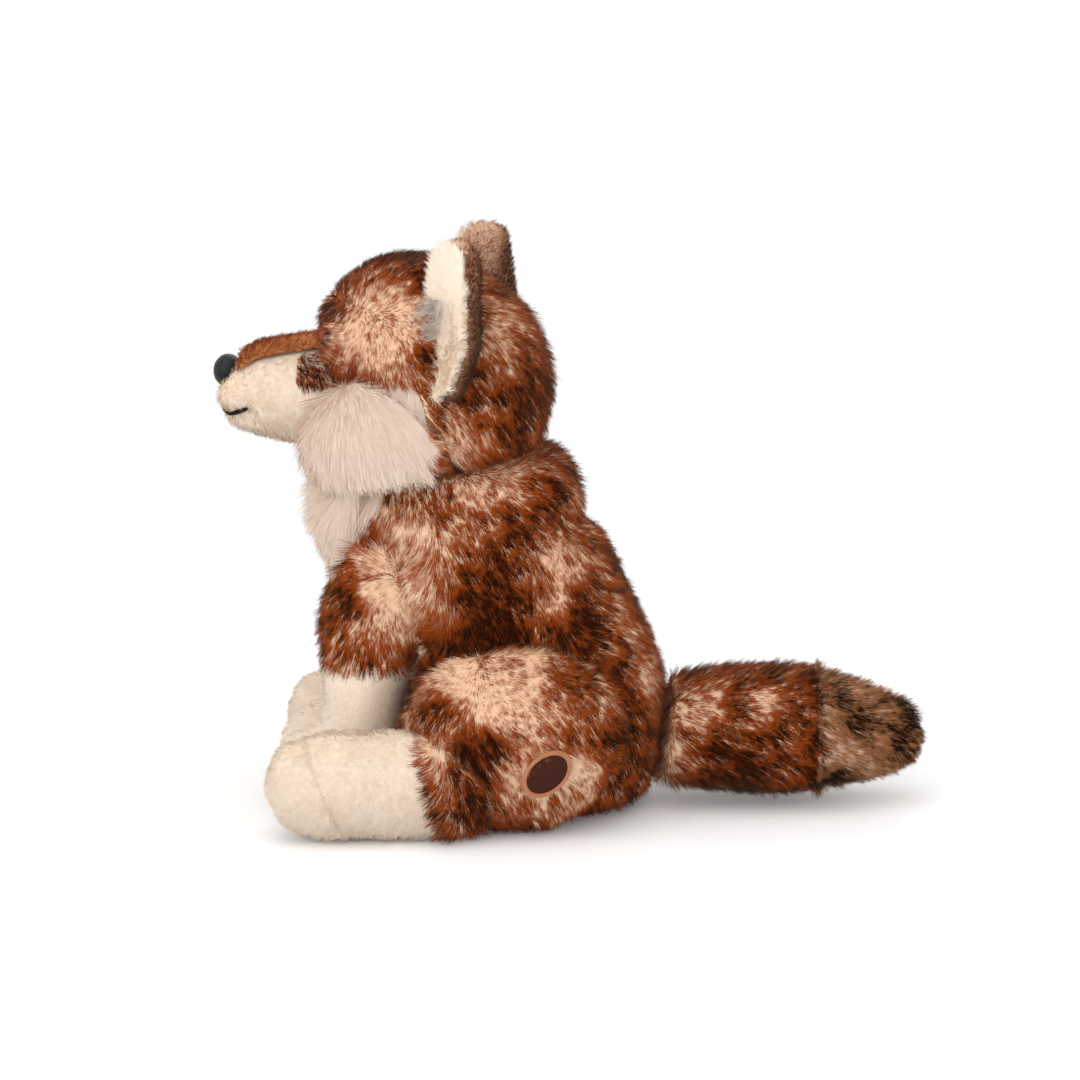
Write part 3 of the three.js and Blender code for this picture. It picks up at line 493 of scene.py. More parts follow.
def fur_tone(root):
    """How far down the dark reaches on the long fur, from 0 to 1, with painted shade in the crease over the thigh.
    """
    mirrored = on_left(root)
    tone = 0.5 + 0.26 * blotches(root, 0.022, 3.0)
    tone += 0.4 * blotches(root, 0.0065, 7.0) + 0.2 * blotches(root, 0.003, 2.0)
    for x, y, z, reach, change in fur_patches:
        apart = np.linalg.norm((mirrored - np.array([x, y, z])) * np.array([0.6, 1, 1]), axis=1)
        tone += change * np.exp(-((apart / (1.2 * reach)) ** 2))
    return tone


shoulder_parting = np.array([0.0, -0.064, 0.1])
sleeve_middle = np.array([0.0, -0.078, 0.094])
sleeve_reach = 0.025


def back_flow(root, normal):
    """Down and back with slow swirls, and away from the parting on each shoulder."""
    away = (root - shoulder_parting) * np.array([0, 1, 1])
    pull = np.exp(-((np.linalg.norm(away, axis=1, keepdims=True) / 0.026) ** 2))
    return np.array([0.0, 0.4, -1.0]) + 2.2 * pull * unit(away) + (0.9 - 0.5 * pull) * swirls(root, 0.03)


def round_sleeve(root):
    """1 along the edge of the sleeves, falling to 0 a little way off."""
    apart = np.linalg.norm((root - sleeve_middle) * np.array([0, 1, 0.85]), axis=1)
    return np.exp(-(((apart - sleeve_reach) / 0.009) ** 2)) * (np.abs(root[:, 0]) > 0.012)


def torso_flow(root, normal):
    """As on the rest of the back, and over the edge of the sleeves onto them."""
    onto = (sleeve_middle - root) * np.array([0, 1, 1])
    return back_flow(root, normal) + 3.0 * round_sleeve(root)[:, None] * unit(onto)


def on_bib(root, normal):
    """In front of the edge where the brown fur of the shoulders meets the cream chest."""
    edge = np.interp(root[:, 2], (0.105, 0.122, 0.136, 0.15), (-0.091, -0.083, -0.073, -0.066))
    middle = (np.abs(root[:, 0]) < 0.016) & (root[:, 1] < -0.06) & (root[:, 2] > 0.066)
    return (root[:, 1] < edge) | middle


fold_height, hump_height = 0.126, 0.141


def torso_depth(places):
    """Soft lumps of the stuffing, and a fold across the back under the hump of the shoulders."""
    behind = np.clip((places[:, 1] + 0.03) / 0.02, 0, 1)
    fold = np.exp(-(((places[:, 2] - fold_height) / 0.006) ** 2))
    hump = np.exp(-(((places[:, 2] - hump_height) / 0.008) ** 2))
    return 0.0025 + 0.0025 * behind * (fold - 0.6 * hump) + 0.0012 * blotches(places, 0.03, 5.0)


brown_strands = strand_finish("brown tipped pile", (252, 221, 188), (152, 67, 18), (38, 9, 0))
# The brown backing is darker than the pile's roots: partly painted shade of the deep pile between the strands.
brown_backing = backing_finish("brown fur backing", (196, 136, 92), (108, 54, 24), 0.012)
torso_nodes = ["torso_cover", "seat_panel", "torso_stuffing"]
torso_skin = stuffed_skin("torso_skin", torso_nodes + ["pellet_pouch"], 0.004, torso_depth)
sewn_on(torso_skin, "torso", brown_backing, torso_nodes)
for side, out in (("left", 1), ("right", -1)):
    furred(
        "torso", "brown_fur", brown_strands,
        f"{side}_torso_pile", torso_skin, 4.4, lambda root: 0.0078 + 0.006 * round_sleeve(root), 0.0003, 58,
        torso_flow, lambda root: fur_tone(root) + 0.1, 11,
        ["chest_panel", f"{side}_thigh", f"{side}_thigh_stuffing"],
        only=lambda root, normal: (root[:, 0] * out > 0) & ~on_bib(root, normal),
    )


# Chest: a panel of long cream fur sewn on the front of the torso, from the neck to between the forelegs.
# It hangs straight down and frays into points at its lower edge; the seam of the neck pushes its top up.
def straight_down(root, normal):
    """Down, with slow swirls."""
    return np.array([0.0, -0.1, -1.0]) + 0.6 * swirls(root, 0.03)


collar_height = 0.135


def up_to_chin(root, normal):
    """Up and a little inwards, where the seam of the neck pushes the pile up."""
    return np.array([0.0, 0.2, 1.0]) + 0.4 * swirls(root, 0.03)


def cream_tone(root):
    return 0.3 + 0.3 * blotches(root, 0.015, 5.0)


brushed = {"gather": 0.06, "stray": 3, "smooth": 1.0}
cream_strands = strand_finish("long cream pile", (235, 217, 202), (229, 209, 194), (220, 195, 176))
cream_backing = backing_finish("cream fur backing", (240, 220, 205), (234, 211, 194), 0.012)
chest_skin = stuffed_skin("chest_skin", ["chest_panel"], 0.003, 0.001, cap=0.002)
sewn_on(chest_skin, "torso", cream_backing, ["chest_panel"])
sleeves = ["left_foreleg_sleeve", "right_foreleg_sleeve"]
furred(
    "torso", "cream_fur", cream_strands,
    "chest_pile", chest_skin, 4.5, 0.011, 0.00036, 74, straight_down, cream_tone, 12,
    sleeves + ["left_foreleg_stuffing", "right_foreleg_stuffing", "torso_cover"],
    only=on_bib, **brushed,
)
furred(
    "torso", "cream_fur", cream_strands,
    "bib_pile", torso_skin, 4.5, 0.011, 0.00036, 70, straight_down, cream_tone, 13, sleeves,
    only=on_bib, **brushed,
)
for collar_name, collar_skin, seed in (("chest_collar_pile", chest_skin, 15), ("neck_collar_pile", torso_skin, 16)):
    furred(
        "torso", "cream_fur", cream_strands,
        collar_name, collar_skin, 5.0, 0.012, 0.00036, 46, up_to_chin, cream_tone, seed,
        only=lambda root, normal: on_bib(root, normal) & (root[:, 2] > collar_height) & (normal[:, 1] < 0.3),
        gather=0.3, stray=16, smooth=1.0,
    )
furred(
    "torso", "brown_fur", brown_strands,
    "shoulder_pile", chest_skin, 4.4, 0.009, 0.0003, 60, back_flow, fur_tone, 14, sleeves + ["torso_cover"],
    only=lambda root, normal: ~on_bib(root, normal),
)


# Pellet pouch: a sewn bag of plain cotton in the seat, half full of plastic pellets for weight.
# It lies loose under the fibre fill.
def plain_cloth(name, light, dark, pitch):
    """Plain woven cloth: two sets of threads that cross, on Object coordinates."""
    finish, tree, cloth = plain_finish(name)
    where = tree.nodes.new("ShaderNodeTexCoord")
    threads = []
    for direction in ("X", "Y"):
        wave = node_in(tree, "ShaderNodeTexWave", Vector=where.outputs["Object"], Scale=0.31 / pitch, Distortion=0.6)
        wave.bands_direction = direction
        threads.append(wave.outputs["Fac"])
    weave = node_in(tree, "ShaderNodeMath", _0=threads[0], _1=threads[1])
    weave.operation = "MULTIPLY"
    two_toned(tree, cloth, weave.outputs[0], dark, light)
    bumpy(tree, cloth, weave.outputs[0], 0.5, 0.0003)
    fed(tree, cloth, Roughness=0.9)
    return finish


pouch = stuffed_skin("pellet_bag", ["pellet_pouch"], 0.004, 0.0005, pressure=1.0, cap=0.001)
cotton = plain_cloth("pouch cotton", (222, 219, 210), (176, 172, 162), 0.0007)
sewn_on(pouch, "torso", cotton, ["pellet_pouch"])


# Neck: the ball of fibre that the head turns and nods on, inside the two covers.
# Loose white polyester, held only by the cloth round it.
fibre = backing_finish("white fibre", (246, 245, 240), (214, 212, 204), 0.006)
neck_fill = stuffed_skin("neck_fill", ["neck_stuffing"], 0.004, 0.0003, cap=0.0003)
sewn_on(neck_fill, "neck", fibre, ["neck_stuffing"])


# Head: a round sock of the same brown fur over fibre fill, sewn to the torso round the neck.
# The pile is shorter on the forehead and round the eyes, and combed back over the crown.
def head_flow(root, normal):
    """Back over the crown, and down and back on the cheeks."""
    crown = np.clip((root[:, 2:] - 0.205) / 0.02, 0, 1)
    return (1 - crown) * np.array([0.0, 0.6, -1.0]) + crown * np.array([0.0, 1.0, 0.0]) + 0.9 * swirls(root, 0.028)


eye_middles = [np.mean(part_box(f"{side}_eye"), axis=0) for side in ("left", "right")]


def head_length(root):
    """Short on the brow and the crown, long at the back, over the neck's seam and behind the eyes."""
    behind_brow = np.clip((root[:, 1] + 0.1) / 0.03, 0, 1)
    on_crown = np.clip((root[:, 2] - 0.215) / 0.01, 0, 1)
    at_neck = np.clip((0.17 - root[:, 2]) / 0.015, 0, 1)
    to_eye = np.min([np.linalg.norm(root - middle, axis=1) for middle in eye_middles], axis=0)
    at_eye = np.exp(-((to_eye / 0.013) ** 2))
    return 0.005 + 0.0025 * behind_brow - 0.0025 * on_crown + 0.003 * at_neck + 0.005 * at_eye


head_aside = math.radians(-8)


def behind_neck(root):
    """How far a place lies behind the neck's middle along the head, which looks a little aside."""
    return (root[:, 1] + 0.045) * math.cos(head_aside) - root[:, 0] * math.sin(head_aside)


def on_cheek(root, normal):
    """The cheek round the ruff, as far as the ear, where the pile is cream."""
    along = behind_neck(root) + 0.032
    return (along / 0.028) ** 4 + ((root[:, 2] - 0.158 - 0.12 * along) / 0.028) ** 4 < 1


def round_the_eye(root, normal):
    """A patch behind each eye."""
    behind = np.zeros(len(root), dtype=bool)
    for middle in eye_middles:
        near = np.linalg.norm(root - middle, axis=1) < 0.015
        behind |= near & (root[:, 1] > middle[1] - 0.003) & (root[:, 2] < middle[2] + 0.007)
    return behind


def over_the_eye(root, normal):
    """Forward over the nearer eye."""
    eye = np.array(eye_middles)[(root[:, 0] < np.mean(eye_middles, axis=0)[0]).astype(int)]
    return unit(eye - root) + np.array([0.0, -1.2, 0.2])


head_skin = stuffed_skin("head_skin", ["head_cover", "head_stuffing"], 0.004, 0.0022)
sewn_on(head_skin, "head", brown_backing, ["head_cover", "head_stuffing"])
furred(
    "head", "brown_fur", brown_strands,
    "head_pile", head_skin, 4.4, head_length, 0.0003, 58, head_flow, lambda root: fur_tone(root) + 0.02, 21,
    ["muzzle_cover", "muzzle_stuffing", "muzzle_bridge",
     "left_cheek_ruff", "right_cheek_ruff", "left_eye", "right_eye"],
    only=lambda root, normal: ~on_cheek(root, normal),
)
furred(
    "head", "brown_fur", brown_strands,
    "lash_pile", head_skin, 5.0, 0.0095, 0.0003, 54, over_the_eye, lambda root: fur_tone(root) - 0.3, 23,
    ["muzzle_cover", "muzzle_stuffing", "left_eye", "right_eye"], only=round_the_eye,
)
furred(
    "head", "cream_fur", cream_strands,
    "cheek_pile", head_skin, 5.0, 0.0095, 0.00036, 66, straight_down, cream_tone, 22,
    ["muzzle_cover", "muzzle_stuffing"], only=on_cheek, **brushed,
)


# Muzzle: a cream sock of short velvet pile, stuffed firm and sewn to the front of the head.
# The long brown fur of the face laps over its root beside the eyes.
def back_along(root, normal):
    """Back along the muzzle and a little down."""
    return np.array([0.1, 1.0, -0.4]) + 0.5 * swirls(root, 0.02)


def short_tone(root):
    return 0.4 + 0.35 * blotches(root, 0.014, 2.0) + 0.2 * blotches(root, 0.005, 6.0)


# Velvet made paler than its own colour: painted light on the forepaws and ear linings, which lie in the shade of the
# sleeves and of the ear's cup.
def painted_light_tone(root):
    return short_tone(root) - 0.7


def under_the_eye(root, normal):
    """The part of the muzzle's root that the face's fur covers."""
    return (root[:, 1] > -0.109) & (root[:, 2] > 0.181)


velvety = {"gather": 0.2, "stray": 15, "speck": 0.06, "smooth": 0.95}
velvet_strands = strand_finish("short cream velvet", (249, 237, 222), (235, 219, 200), (224, 205, 184))
velvet_backing = backing_finish("cream velvet backing", (240, 223, 204), (234, 214, 193), 0.006, 0.1)
lips = frame["nodes"]["mouth_stitch"]
lip_line = KDTree(len(lips.data.vertices))
for i, corner in enumerate(lips.data.vertices):
    lip_line.insert(lips.matrix_world @ corner.co, i)
lip_line.balance()


def lip_depth(places):
    """The skin is drawn in along the mouth and swells a little above and below it."""
    apart = np.array([lip_line.find(place)[2] for place in places])
    return 0.001 + 0.0018 * np.exp(-((apart / 0.003) ** 2)) - 0.001 * np.exp(-(((apart - 0.007) / 0.004) ** 2))


muzzle_skin = stuffed_skin("muzzle_skin", ["muzzle_cover", "muzzle_stuffing"], 0.003, lip_depth, cap=0.0015)
sewn_on(muzzle_skin, "head", velvet_backing, ["muzzle_cover", "muzzle_stuffing"])
furred(
    "head", "cream_pile", velvet_strands,
    "muzzle_pile", muzzle_skin, 5.0, 0.0024, 0.00023, 50, back_along, short_tone, 31,
    ["muzzle_bridge", "nose", "left_cheek_ruff", "right_cheek_ruff"],
    only=lambda root, normal: ~under_the_eye(root, normal), **velvety,
)
furred(
    "head", "brown_fur", brown_strands,
    "eye_pile", muzzle_skin, 4.5, 0.008, 0.0003, 54, head_flow, lambda root: fur_tone(root) - 0.08, 32,
    ["muzzle_bridge", "left_cheek_ruff", "right_cheek_ruff", "left_eye", "right_eye"], only=under_the_eye,
)


# Bridge: a strip of short rust pile sewn along the top of the muzzle, from the nose to the forehead.
# It lies flat on the cream velvet, with its cut edge showing on both sides.
rust_strands = strand_finish("short rust pile", (216, 142, 90), (180, 102, 54), (122, 62, 28))
rust_backing = backing_finish("rust pile backing", (160, 92, 52), (106, 56, 30), 0.006)
bridge_skin = outer_shell("bridge_skin", ["muzzle_bridge"], 0.0012)
applied(bridge_skin, "SMOOTH", factor=0.5, iterations=6)
drawn_in(bridge_skin, 0.0004)
sewn_on(bridge_skin, "head", rust_backing, ["muzzle_bridge"])
furred(
    "head", "rust_pile", rust_strands,
    "bridge_pile", bridge_skin, 5.0, 0.0026, 0.00024, 48, back_along, short_tone, 33, ["muzzle_cover", "nose"],
    gather=0.2, stray=12, speck=0.08, smooth=0.8,
)


# Cheek ruffs: a pad of long cream fur on each cheek, brushed down and back so that it hides the jaw.
# Behind its edge the brown fur of the nape laps over it.
def ruff_flow(root, normal):
    """Down, fanning back from the corner of the mouth."""
    fan = root - np.array([0.0, -0.1, 0.2])
    fan[:, 0] *= 0.2
    return unit(fan) + np.array([0.0, 0.0, -0.8]) + 0.35 * swirls(root, 0.03)


ruff_edge = -0.005
for side in ("left", "right"):
    ruff_skin = stuffed_skin(f"{side}_ruff_skin", [f"{side}_cheek_ruff"], 0.003, 0.001, cap=0.002)
    sewn_on(ruff_skin, "head", cream_backing, [f"{side}_cheek_ruff"])
    furred(
        "head", "cream_fur", cream_strands,
        f"{side}_ruff_pile", ruff_skin, 5.0, 0.0115, 0.00036, 76, ruff_flow, cream_tone, 41,
        only=lambda root, normal: behind_neck(root) < ruff_edge, **brushed,
    )
    furred(
        "head", "brown_fur", brown_strands,
        f"{side}_ruff_edge_pile", ruff_skin, 4.4, 0.009, 0.0003, 62, head_flow, fur_tone, 42,
        only=lambda root, normal: behind_neck(root) > ruff_edge,
    )


# Eyes: glossy dark brown safety eyes, a dome on a shank that a washer locks behind the cover.
# Nose: a moulded satin nose fixed in the same way.
def moulded(name, colour, light, roughness, size, specular):
    """Moulded plastic with a faint grain and an uneven gloss."""
    finish, tree, plastic = plain_finish(name)
    where = tree.nodes.new("ShaderNodeTexCoord")
    cloud = node_in(tree, "ShaderNodeTexNoise", Vector=where.outputs["Object"], Scale=1 / size, Detail=3.0)
    two_toned(tree, plastic, cloud.outputs["Fac"], colour, light)
    gloss = node_in(
        tree, "ShaderNodeMapRange", Value=cloud.outputs["Fac"], To__Min=roughness - 0.04, To__Max=roughness + 0.06,
    )
    fed(tree, plastic, Roughness=gloss.outputs[0], Specular__IOR__Level=specular)
    return finish


eye_finish = moulded("eye plastic", (14, 10, 9), (26, 19, 16), 0.16, 0.004, 0.25)
nose_finish = moulded("nose plastic", (13, 13, 16), (22, 23, 27), 0.45, 0.003, 0.25)
for pin_name, node_name, slot_name, finish in (
    ("left_eye_dome", "left_eye", "eye_plastic", eye_finish),
    ("right_eye_dome", "right_eye", "eye_plastic", eye_finish),
    ("nose_button", "nose", "nose_plastic", nose_finish),
):
    pin = merged_copy(pin_name, [node_name])
    applied(pin, "SUBSURF", levels=3, render_levels=3)
    bpy.ops.object.shade_smooth()
    sewn_on(pin, "head", finish, [node_name])

washer_finish = moulded("washer plastic", (226, 225, 218), (236, 235, 228), 0.45, 0.004, 0.5)
for washer_name in ("left_eye_washer", "right_eye_washer", "nose_washer"):
    washer = frame["nodes"][washer_name]
    washer.data.materials.clear()
    washer.data.materials.append(washer_finish)


# Mouth: one line of thick black thread, stitched from corner to corner under the nose.
# It is pulled tight into the velvet and turns up a little at both ends.
mouth = merged_copy("mouth_thread", ["mouth_stitch"])
muzzle_face = BVHTree.FromPolygons(corner_values(muzzle_skin.data).tolist(), triangles(muzzle_skin.data).tolist())
stitch = corner_values(mouth.data)
corner_lift, thread_stands_out = 0.004, 0.0014
stitch[:, 2] += corner_lift * np.clip((stitch[:, 1] + 0.134) / 0.009, 0, 1) ** 1.5
nearest = [muzzle_face.find_nearest(Vector(place)) for place in stitch]
skin_normal = np.array([found[1] for found in nearest])
proud = ((stitch - np.array([found[0] for found in nearest])) * skin_normal).sum(1)
order = np.argsort(stitch[:, 0])
window = len(order) // 12
evened = np.convolve(
    np.pad(proud[order], window, mode="edge"), np.ones(2 * window + 1) / (2 * window + 1), mode="valid",
)
stitch[order] += (thread_stands_out - evened)[:, None] * skin_normal[order]
mouth.data.vertices.foreach_set("co", stitch.ravel())
applied(mouth, "SUBSURF", levels=2, render_levels=2)
bpy.ops.object.shade_smooth()
thread_finish = backing_finish("black thread", (34, 28, 25), (12, 10, 9), 0.0008)
sewn_on(mouth, "head", thread_finish, ["mouth_stitch"])


# Ears: two leaves sewn together at the rim, short dark brown fur behind and cream velvet in front.
# They are sewn into the head seam and cupped forward.
def ear_flow(root, normal):
    """Up towards the tip and a little back."""
    return np.array([0.0, 0.35, 1.0]) + 0.4 * swirls(root, 0.02)


ear_strands = strand_finish("dark ear pile", (232, 192, 164), (172, 122, 92), (58, 25, 10))
ear_backing = backing_finish("dark ear backing", (150, 106, 80), (84, 50, 32), 0.008)
tuft_strands = strand_finish("grey ear tuft", (246, 241, 237), (214, 204, 198), (150, 136, 128))
tuft_height = 0.212
for side, out in (("left", 1), ("right", -1)):
    fold = next(joint for joint in frame["record"]["behaviour"]["joints"] if joint["name"] == f"{side}_ear_fold")

    def ear_tone(root):
        """Dark on the outer half of the ear's back, partly painted shade of its fold, and frosted on the inner half.
        """
        outward = out * (root - np.array(fold["pos_m"])) @ np.array(fold["axis"])
        return 0.6 + 0.6 * np.clip((outward + 0.01) / 0.005, -1, 1) + 0.2 * blotches(root, 0.01, 4.0)

    ear_skin = stuffed_skin(f"{side}_ear_back_skin", [f"{side}_ear_back"], 0.002, 0.0008, cap=0.001)
    sewn_on(ear_skin, f"{side}_ear", ear_backing, [f"{side}_ear_back"])
    furred(
        f"{side}_ear", "dark_pile", ear_strands,
        f"{side}_ear_back_pile", ear_skin, 5.0, 0.003, 0.00026, 45, ear_flow, ear_tone, 51,
        [f"{side}_ear_lining", "head_cover"], gather=0.25, stray=12, smooth=0.8,
    )
    lining_skin = stuffed_skin(f"{side}_ear_lining_skin", [f"{side}_ear_lining"], 0.002, 0.0005, cap=0.001)
    sewn_on(lining_skin, f"{side}_ear", velvet_backing, [f"{side}_ear_lining"])
    inner = np.array(fold["axis"])
    lining_middle = corner_values(lining_skin.data).mean(0)

    def lining_flow(root, normal):
        """Outwards from the ear's middle line to the rim."""
        outward = (root - lining_middle) @ inner
        return np.clip(outward / 0.004, -1, 1)[:, None] * inner + 0.5 * ear_flow(root, normal)

    # The lining's paler tone is painted light against the shade of the ear's cup.
    furred(
        f"{side}_ear", "cream_pile", velvet_strands,
        f"{side}_ear_lining_pile", lining_skin, 6.0, 0.0042, 0.00024, 64, lining_flow, painted_light_tone, 52,
        ["head_cover"], gather=0.25, stray=10, speck=0.06, smooth=0.95,
    )
    edge = corner_values(lining_skin.data)
    front = edge[np.abs(edge[:, 2] - tuft_height) < 0.008, 1].min()
    furred(
        f"{side}_ear", "grey_brown_fur", tuft_strands,
        f"{side}_ear_tuft", lining_skin, 9.0, 0.011, 0.0003, 55,
        lambda root, normal: root - np.array([0.0, front + 0.012, tuft_height]), short_tone, 53,
        only=lambda root, normal: (np.abs(root[:, 2] - tuft_height) < 0.007) & (root[:, 1] < front + 0.005),
        speck=0.25, smooth=0.8,
    )


# Forelegs: a sleeve of the brown fur down to its hem, then a cream velvet lower leg and paw.
# Both are one stuffed tube, sewn to the shoulder so that it swings forward.
def cut_at_seam(skin, name, place, towards):
    """Cuts a skin along a flat seam and closes both ends; the far part becomes a piece of its own."""
    far_part = skin.copy()
    far_part.data = skin.data.copy()
    far_part.name = name
    scene.collection.objects.link(far_part)
    for part, is_far in ((skin, False), (far_part, True)):
        active_only(part)
        edited(
            bpy.ops.mesh.bisect,
            plane_co=place, plane_no=towards, use_fill=True, clear_inner=is_far, clear_outer=not is_far,
        )
    return far_part


def paw_flow(root, normal):
    """Down and forward, with small swirls."""
    return np.array([0.0, -0.6, -1.0]) + 0.7 * swirls(root, 0.02)


def sleeve_length(root):
    """Longest along the shoulder and down the rear, where the fur laps over the seam."""
    shoulder = np.clip((root[:, 2] - 0.1) / 0.015, 0, 1)
    rear = np.clip((root[:, 1] + 0.066) / 0.01, 0, 1)
    return 0.0078 + 0.0045 * np.maximum(shoulder, rear)


hem_height = 0.0668


def sleeve_depth(places):
    return np.interp(places[:, 2], (hem_height - 0.004, hem_height), (0.0008, 0.0022))


for side in ("left", "right"):
    leg_nodes = [f"{side}_foreleg_sleeve", f"{side}_forepaw", f"{side}_foreleg_stuffing"]
    sleeve_skin = stuffed_skin(f"{side}_sleeve_skin", leg_nodes, 0.004, sleeve_depth)
    forepaw_skin = cut_at_seam(sleeve_skin, f"{side}_forepaw_skin", (0, 0, hem_height), (0, 0, -1))
    sewn_on(sleeve_skin, f"{side}_foreleg", brown_backing, leg_nodes[:1])
    sewn_on(forepaw_skin, f"{side}_foreleg", velvet_backing, leg_nodes[1:])
    furred(
        f"{side}_foreleg", "brown_fur", brown_strands,
        f"{side}_sleeve_pile", sleeve_skin, 4.8, sleeve_length, 0.0003, 58,
        back_flow, lambda root: fur_tone(root) + 0.04, 61, ["torso_cover", "chest_panel"],
    )
    # The forepaw's paler tone is painted light against the shade of the sleeve.
    furred(
        f"{side}_foreleg", "cream_pile", velvet_strands,
        f"{side}_forepaw_pile", forepaw_skin, 4.5, 0.0026, 0.00024, 48, paw_flow, painted_light_tone, 62,
        [f"{side}_foreleg_sleeve"], **velvety,
    )


# Hind legs: a plump thigh of brown fur flat against the hip, and a cream velvet foot with its own sole.
# Leg and foot are stuffed together and swing at the hip.
def thigh_flow(root, normal):
    """Down and back, to both sides of the parting near the top and away from the badge."""
    flow = np.tile([0.0, 0.4, -0.8], (len(root), 1))
    behind = root[:, 1] + 0.034
    near = np.exp(-((behind / 0.018) ** 2) - ((root[:, 2] - 0.066) / 0.018) ** 2)
    flow[:, 1] += 1.2 * near * np.clip(behind / 0.006, -1, 1)
    away = (root - np.array([0.0, -0.006, 0.03])) * np.array([0, 1, 1])
    pull = np.exp(-((np.linalg.norm(away, axis=1, keepdims=True) / 0.018) ** 2))
    return flow + 1.0 * pull * unit(away) + 0.9 * swirls(root, 0.025)


def thigh_length(root):
    """Longer along the foot, where the fur laps over the seam."""
    apart = np.linalg.norm(on_left(root) - np.array([0.055, -0.045, 0.03]), axis=1)
    return 0.0078 + 0.0045 * np.exp(-((apart / 0.02) ** 4))


def past_cuff(root):
    """How far a place lies behind the slanting edge of the thigh's fur on the foot."""
    return root[:, 1] + 0.061 - 0.27 * (0.062 - root[:, 2])


def behind_cuff(root, normal):
    """The rear of the foot, which the fur of the thigh laps over."""
    return past_cuff(root) > 0


def cuff_flow(root, normal):
    """As on the thigh, but forward over the foot along the front edge."""
    edge = np.clip(1 - past_cuff(root) / 0.007, 0, 1)[:, None]
    return (1 - edge) * thigh_flow(root, normal) + edge * np.array([0.0, -1.2, -0.5])


sole_edge, sole_front = np.array([0, -0.087, 0]), np.array([0, -0.928, -0.371])


def foot_depth(places):
    """Soft lumps of the stuffing, and a fold along the seam of the sole."""
    before = (places - sole_edge) @ sole_front
    dent, swell = np.exp(-((before / 0.006) ** 2)), np.exp(-((before / 0.004 - 1) ** 2))
    crease = 0.0003 * np.where(before < 0, dent, -swell)
    return 0.0008 + 0.0013 * blotches(places, 0.02, 6.0) + crease


for side in ("left", "right"):
    thigh_nodes = [f"{side}_thigh", f"{side}_thigh_stuffing"]
    thigh_skin = stuffed_skin(f"{side}_thigh_skin", thigh_nodes, 0.004, 0.0022)
    sewn_on(thigh_skin, f"{side}_hind_leg", brown_backing, thigh_nodes)
    over_thigh = ["torso_cover", f"{side}_hind_foot", f"{side}_hind_foot_stuffing"]
    if side == "left":
        over_thigh += ["hip_badge", "hip_badge_border"]
    furred(
        f"{side}_hind_leg", "brown_fur", brown_strands,
        f"{side}_thigh_pile", thigh_skin, 4.8, thigh_length, 0.0003, 58,
        thigh_flow, lambda root: fur_tone(root) - 0.06, 71, over_thigh,
    )
    foot_nodes = [f"{side}_hind_foot", f"{side}_hind_foot_stuffing", f"{side}_sole"]
    foot_skin = stuffed_skin(f"{side}_foot_skin", foot_nodes, 0.004, foot_depth)
    sole_skin = cut_at_seam(foot_skin, f"{side}_sole_skin", sole_edge, sole_front)
    sewn_on(foot_skin, f"{side}_hind_leg", velvet_backing, foot_nodes[:2])
    sewn_on(sole_skin, f"{side}_hind_leg", velvet_backing, foot_nodes[2:])
    for part_name, part_skin, seed in (("foot", foot_skin, 72), ("sole", sole_skin, 73)):
        furred(
            f"{side}_hind_leg", "cream_pile", velvet_strands,
            f"{side}_{part_name}_pile", part_skin, 4.5, 0.0026, 0.00024, 48, paw_flow, short_tone, seed,
            [f"{side}_thigh"], **velvety,
        )
    furred(
        f"{side}_hind_leg", "brown_fur", brown_strands,
        f"{side}_cuff_pile", foot_skin, 4.8, 0.0095, 0.0003, 62, cuff_flow, fur_tone, 74,
        [f"{side}_thigh"], only=behind_cuff,
    )


# Badge: a small oval patch on the left hip, a plain brown twill field in a rope of copper thread.
# It is stitched through the fur, which is flattened round it.
badge_ring = frame["nodes"]["hip_badge_border"]
ring_corners = np.array([badge_ring.matrix_world @ corner.co for corner in badge_ring.data.vertices])
ring_middle = ring_corners.mean(0)
ring_along, _, ring_out = np.linalg.svd(ring_corners - ring_middle, full_matrices=False)[2]
ring_out *= np.sign(ring_out[0])
badge_place = Matrix((ring_along, np.cross(ring_out, ring_along), ring_out)).transposed().to_4x4()
badge_place.translation = ring_middle
badge_lift = Matrix.Translation((0, 0, 0.0022))
bpy.ops.object.select_all(action="DESELECT")
bpy.ops.mesh.primitive_torus_add(major_segments=120, minor_segments=12, major_radius=1.0, minor_radius=0.11)
rope = bpy.context.object
rope.name = "badge_rope"
rope.data.transform(badge_place @ badge_lift @ Matrix.Diagonal((0.0106, 0.0076, 0.0105, 1)))
bpy.ops.object.shade_smooth()
rope_finish, rope_tree, rope_shader = plain_finish("copper thread")
rope_map = rope_tree.nodes.new("ShaderNodeUVMap")
rope_map.uv_map = "UVMap"
lay = node_in(rope_tree, "ShaderNodeMapping", Vector=rope_map.outputs[0], Rotation=(0, 0, 0.05))
turns = node_in(rope_tree, "ShaderNodeTexWave", Vector=lay.outputs[0], Scale=34.0, Distortion=0.5)
two_toned(rope_tree, rope_shader, turns.outputs["Fac"], (150, 82, 42), (226, 148, 94))
bumpy(rope_tree, rope_shader, turns.outputs["Fac"], 0.7, 0.0004)
fed(rope_tree, rope_shader, Roughness=0.55, Sheen__Weight=0.2)
sewn_on(rope, "left_hind_leg", rope_finish, ["hip_badge_border"])

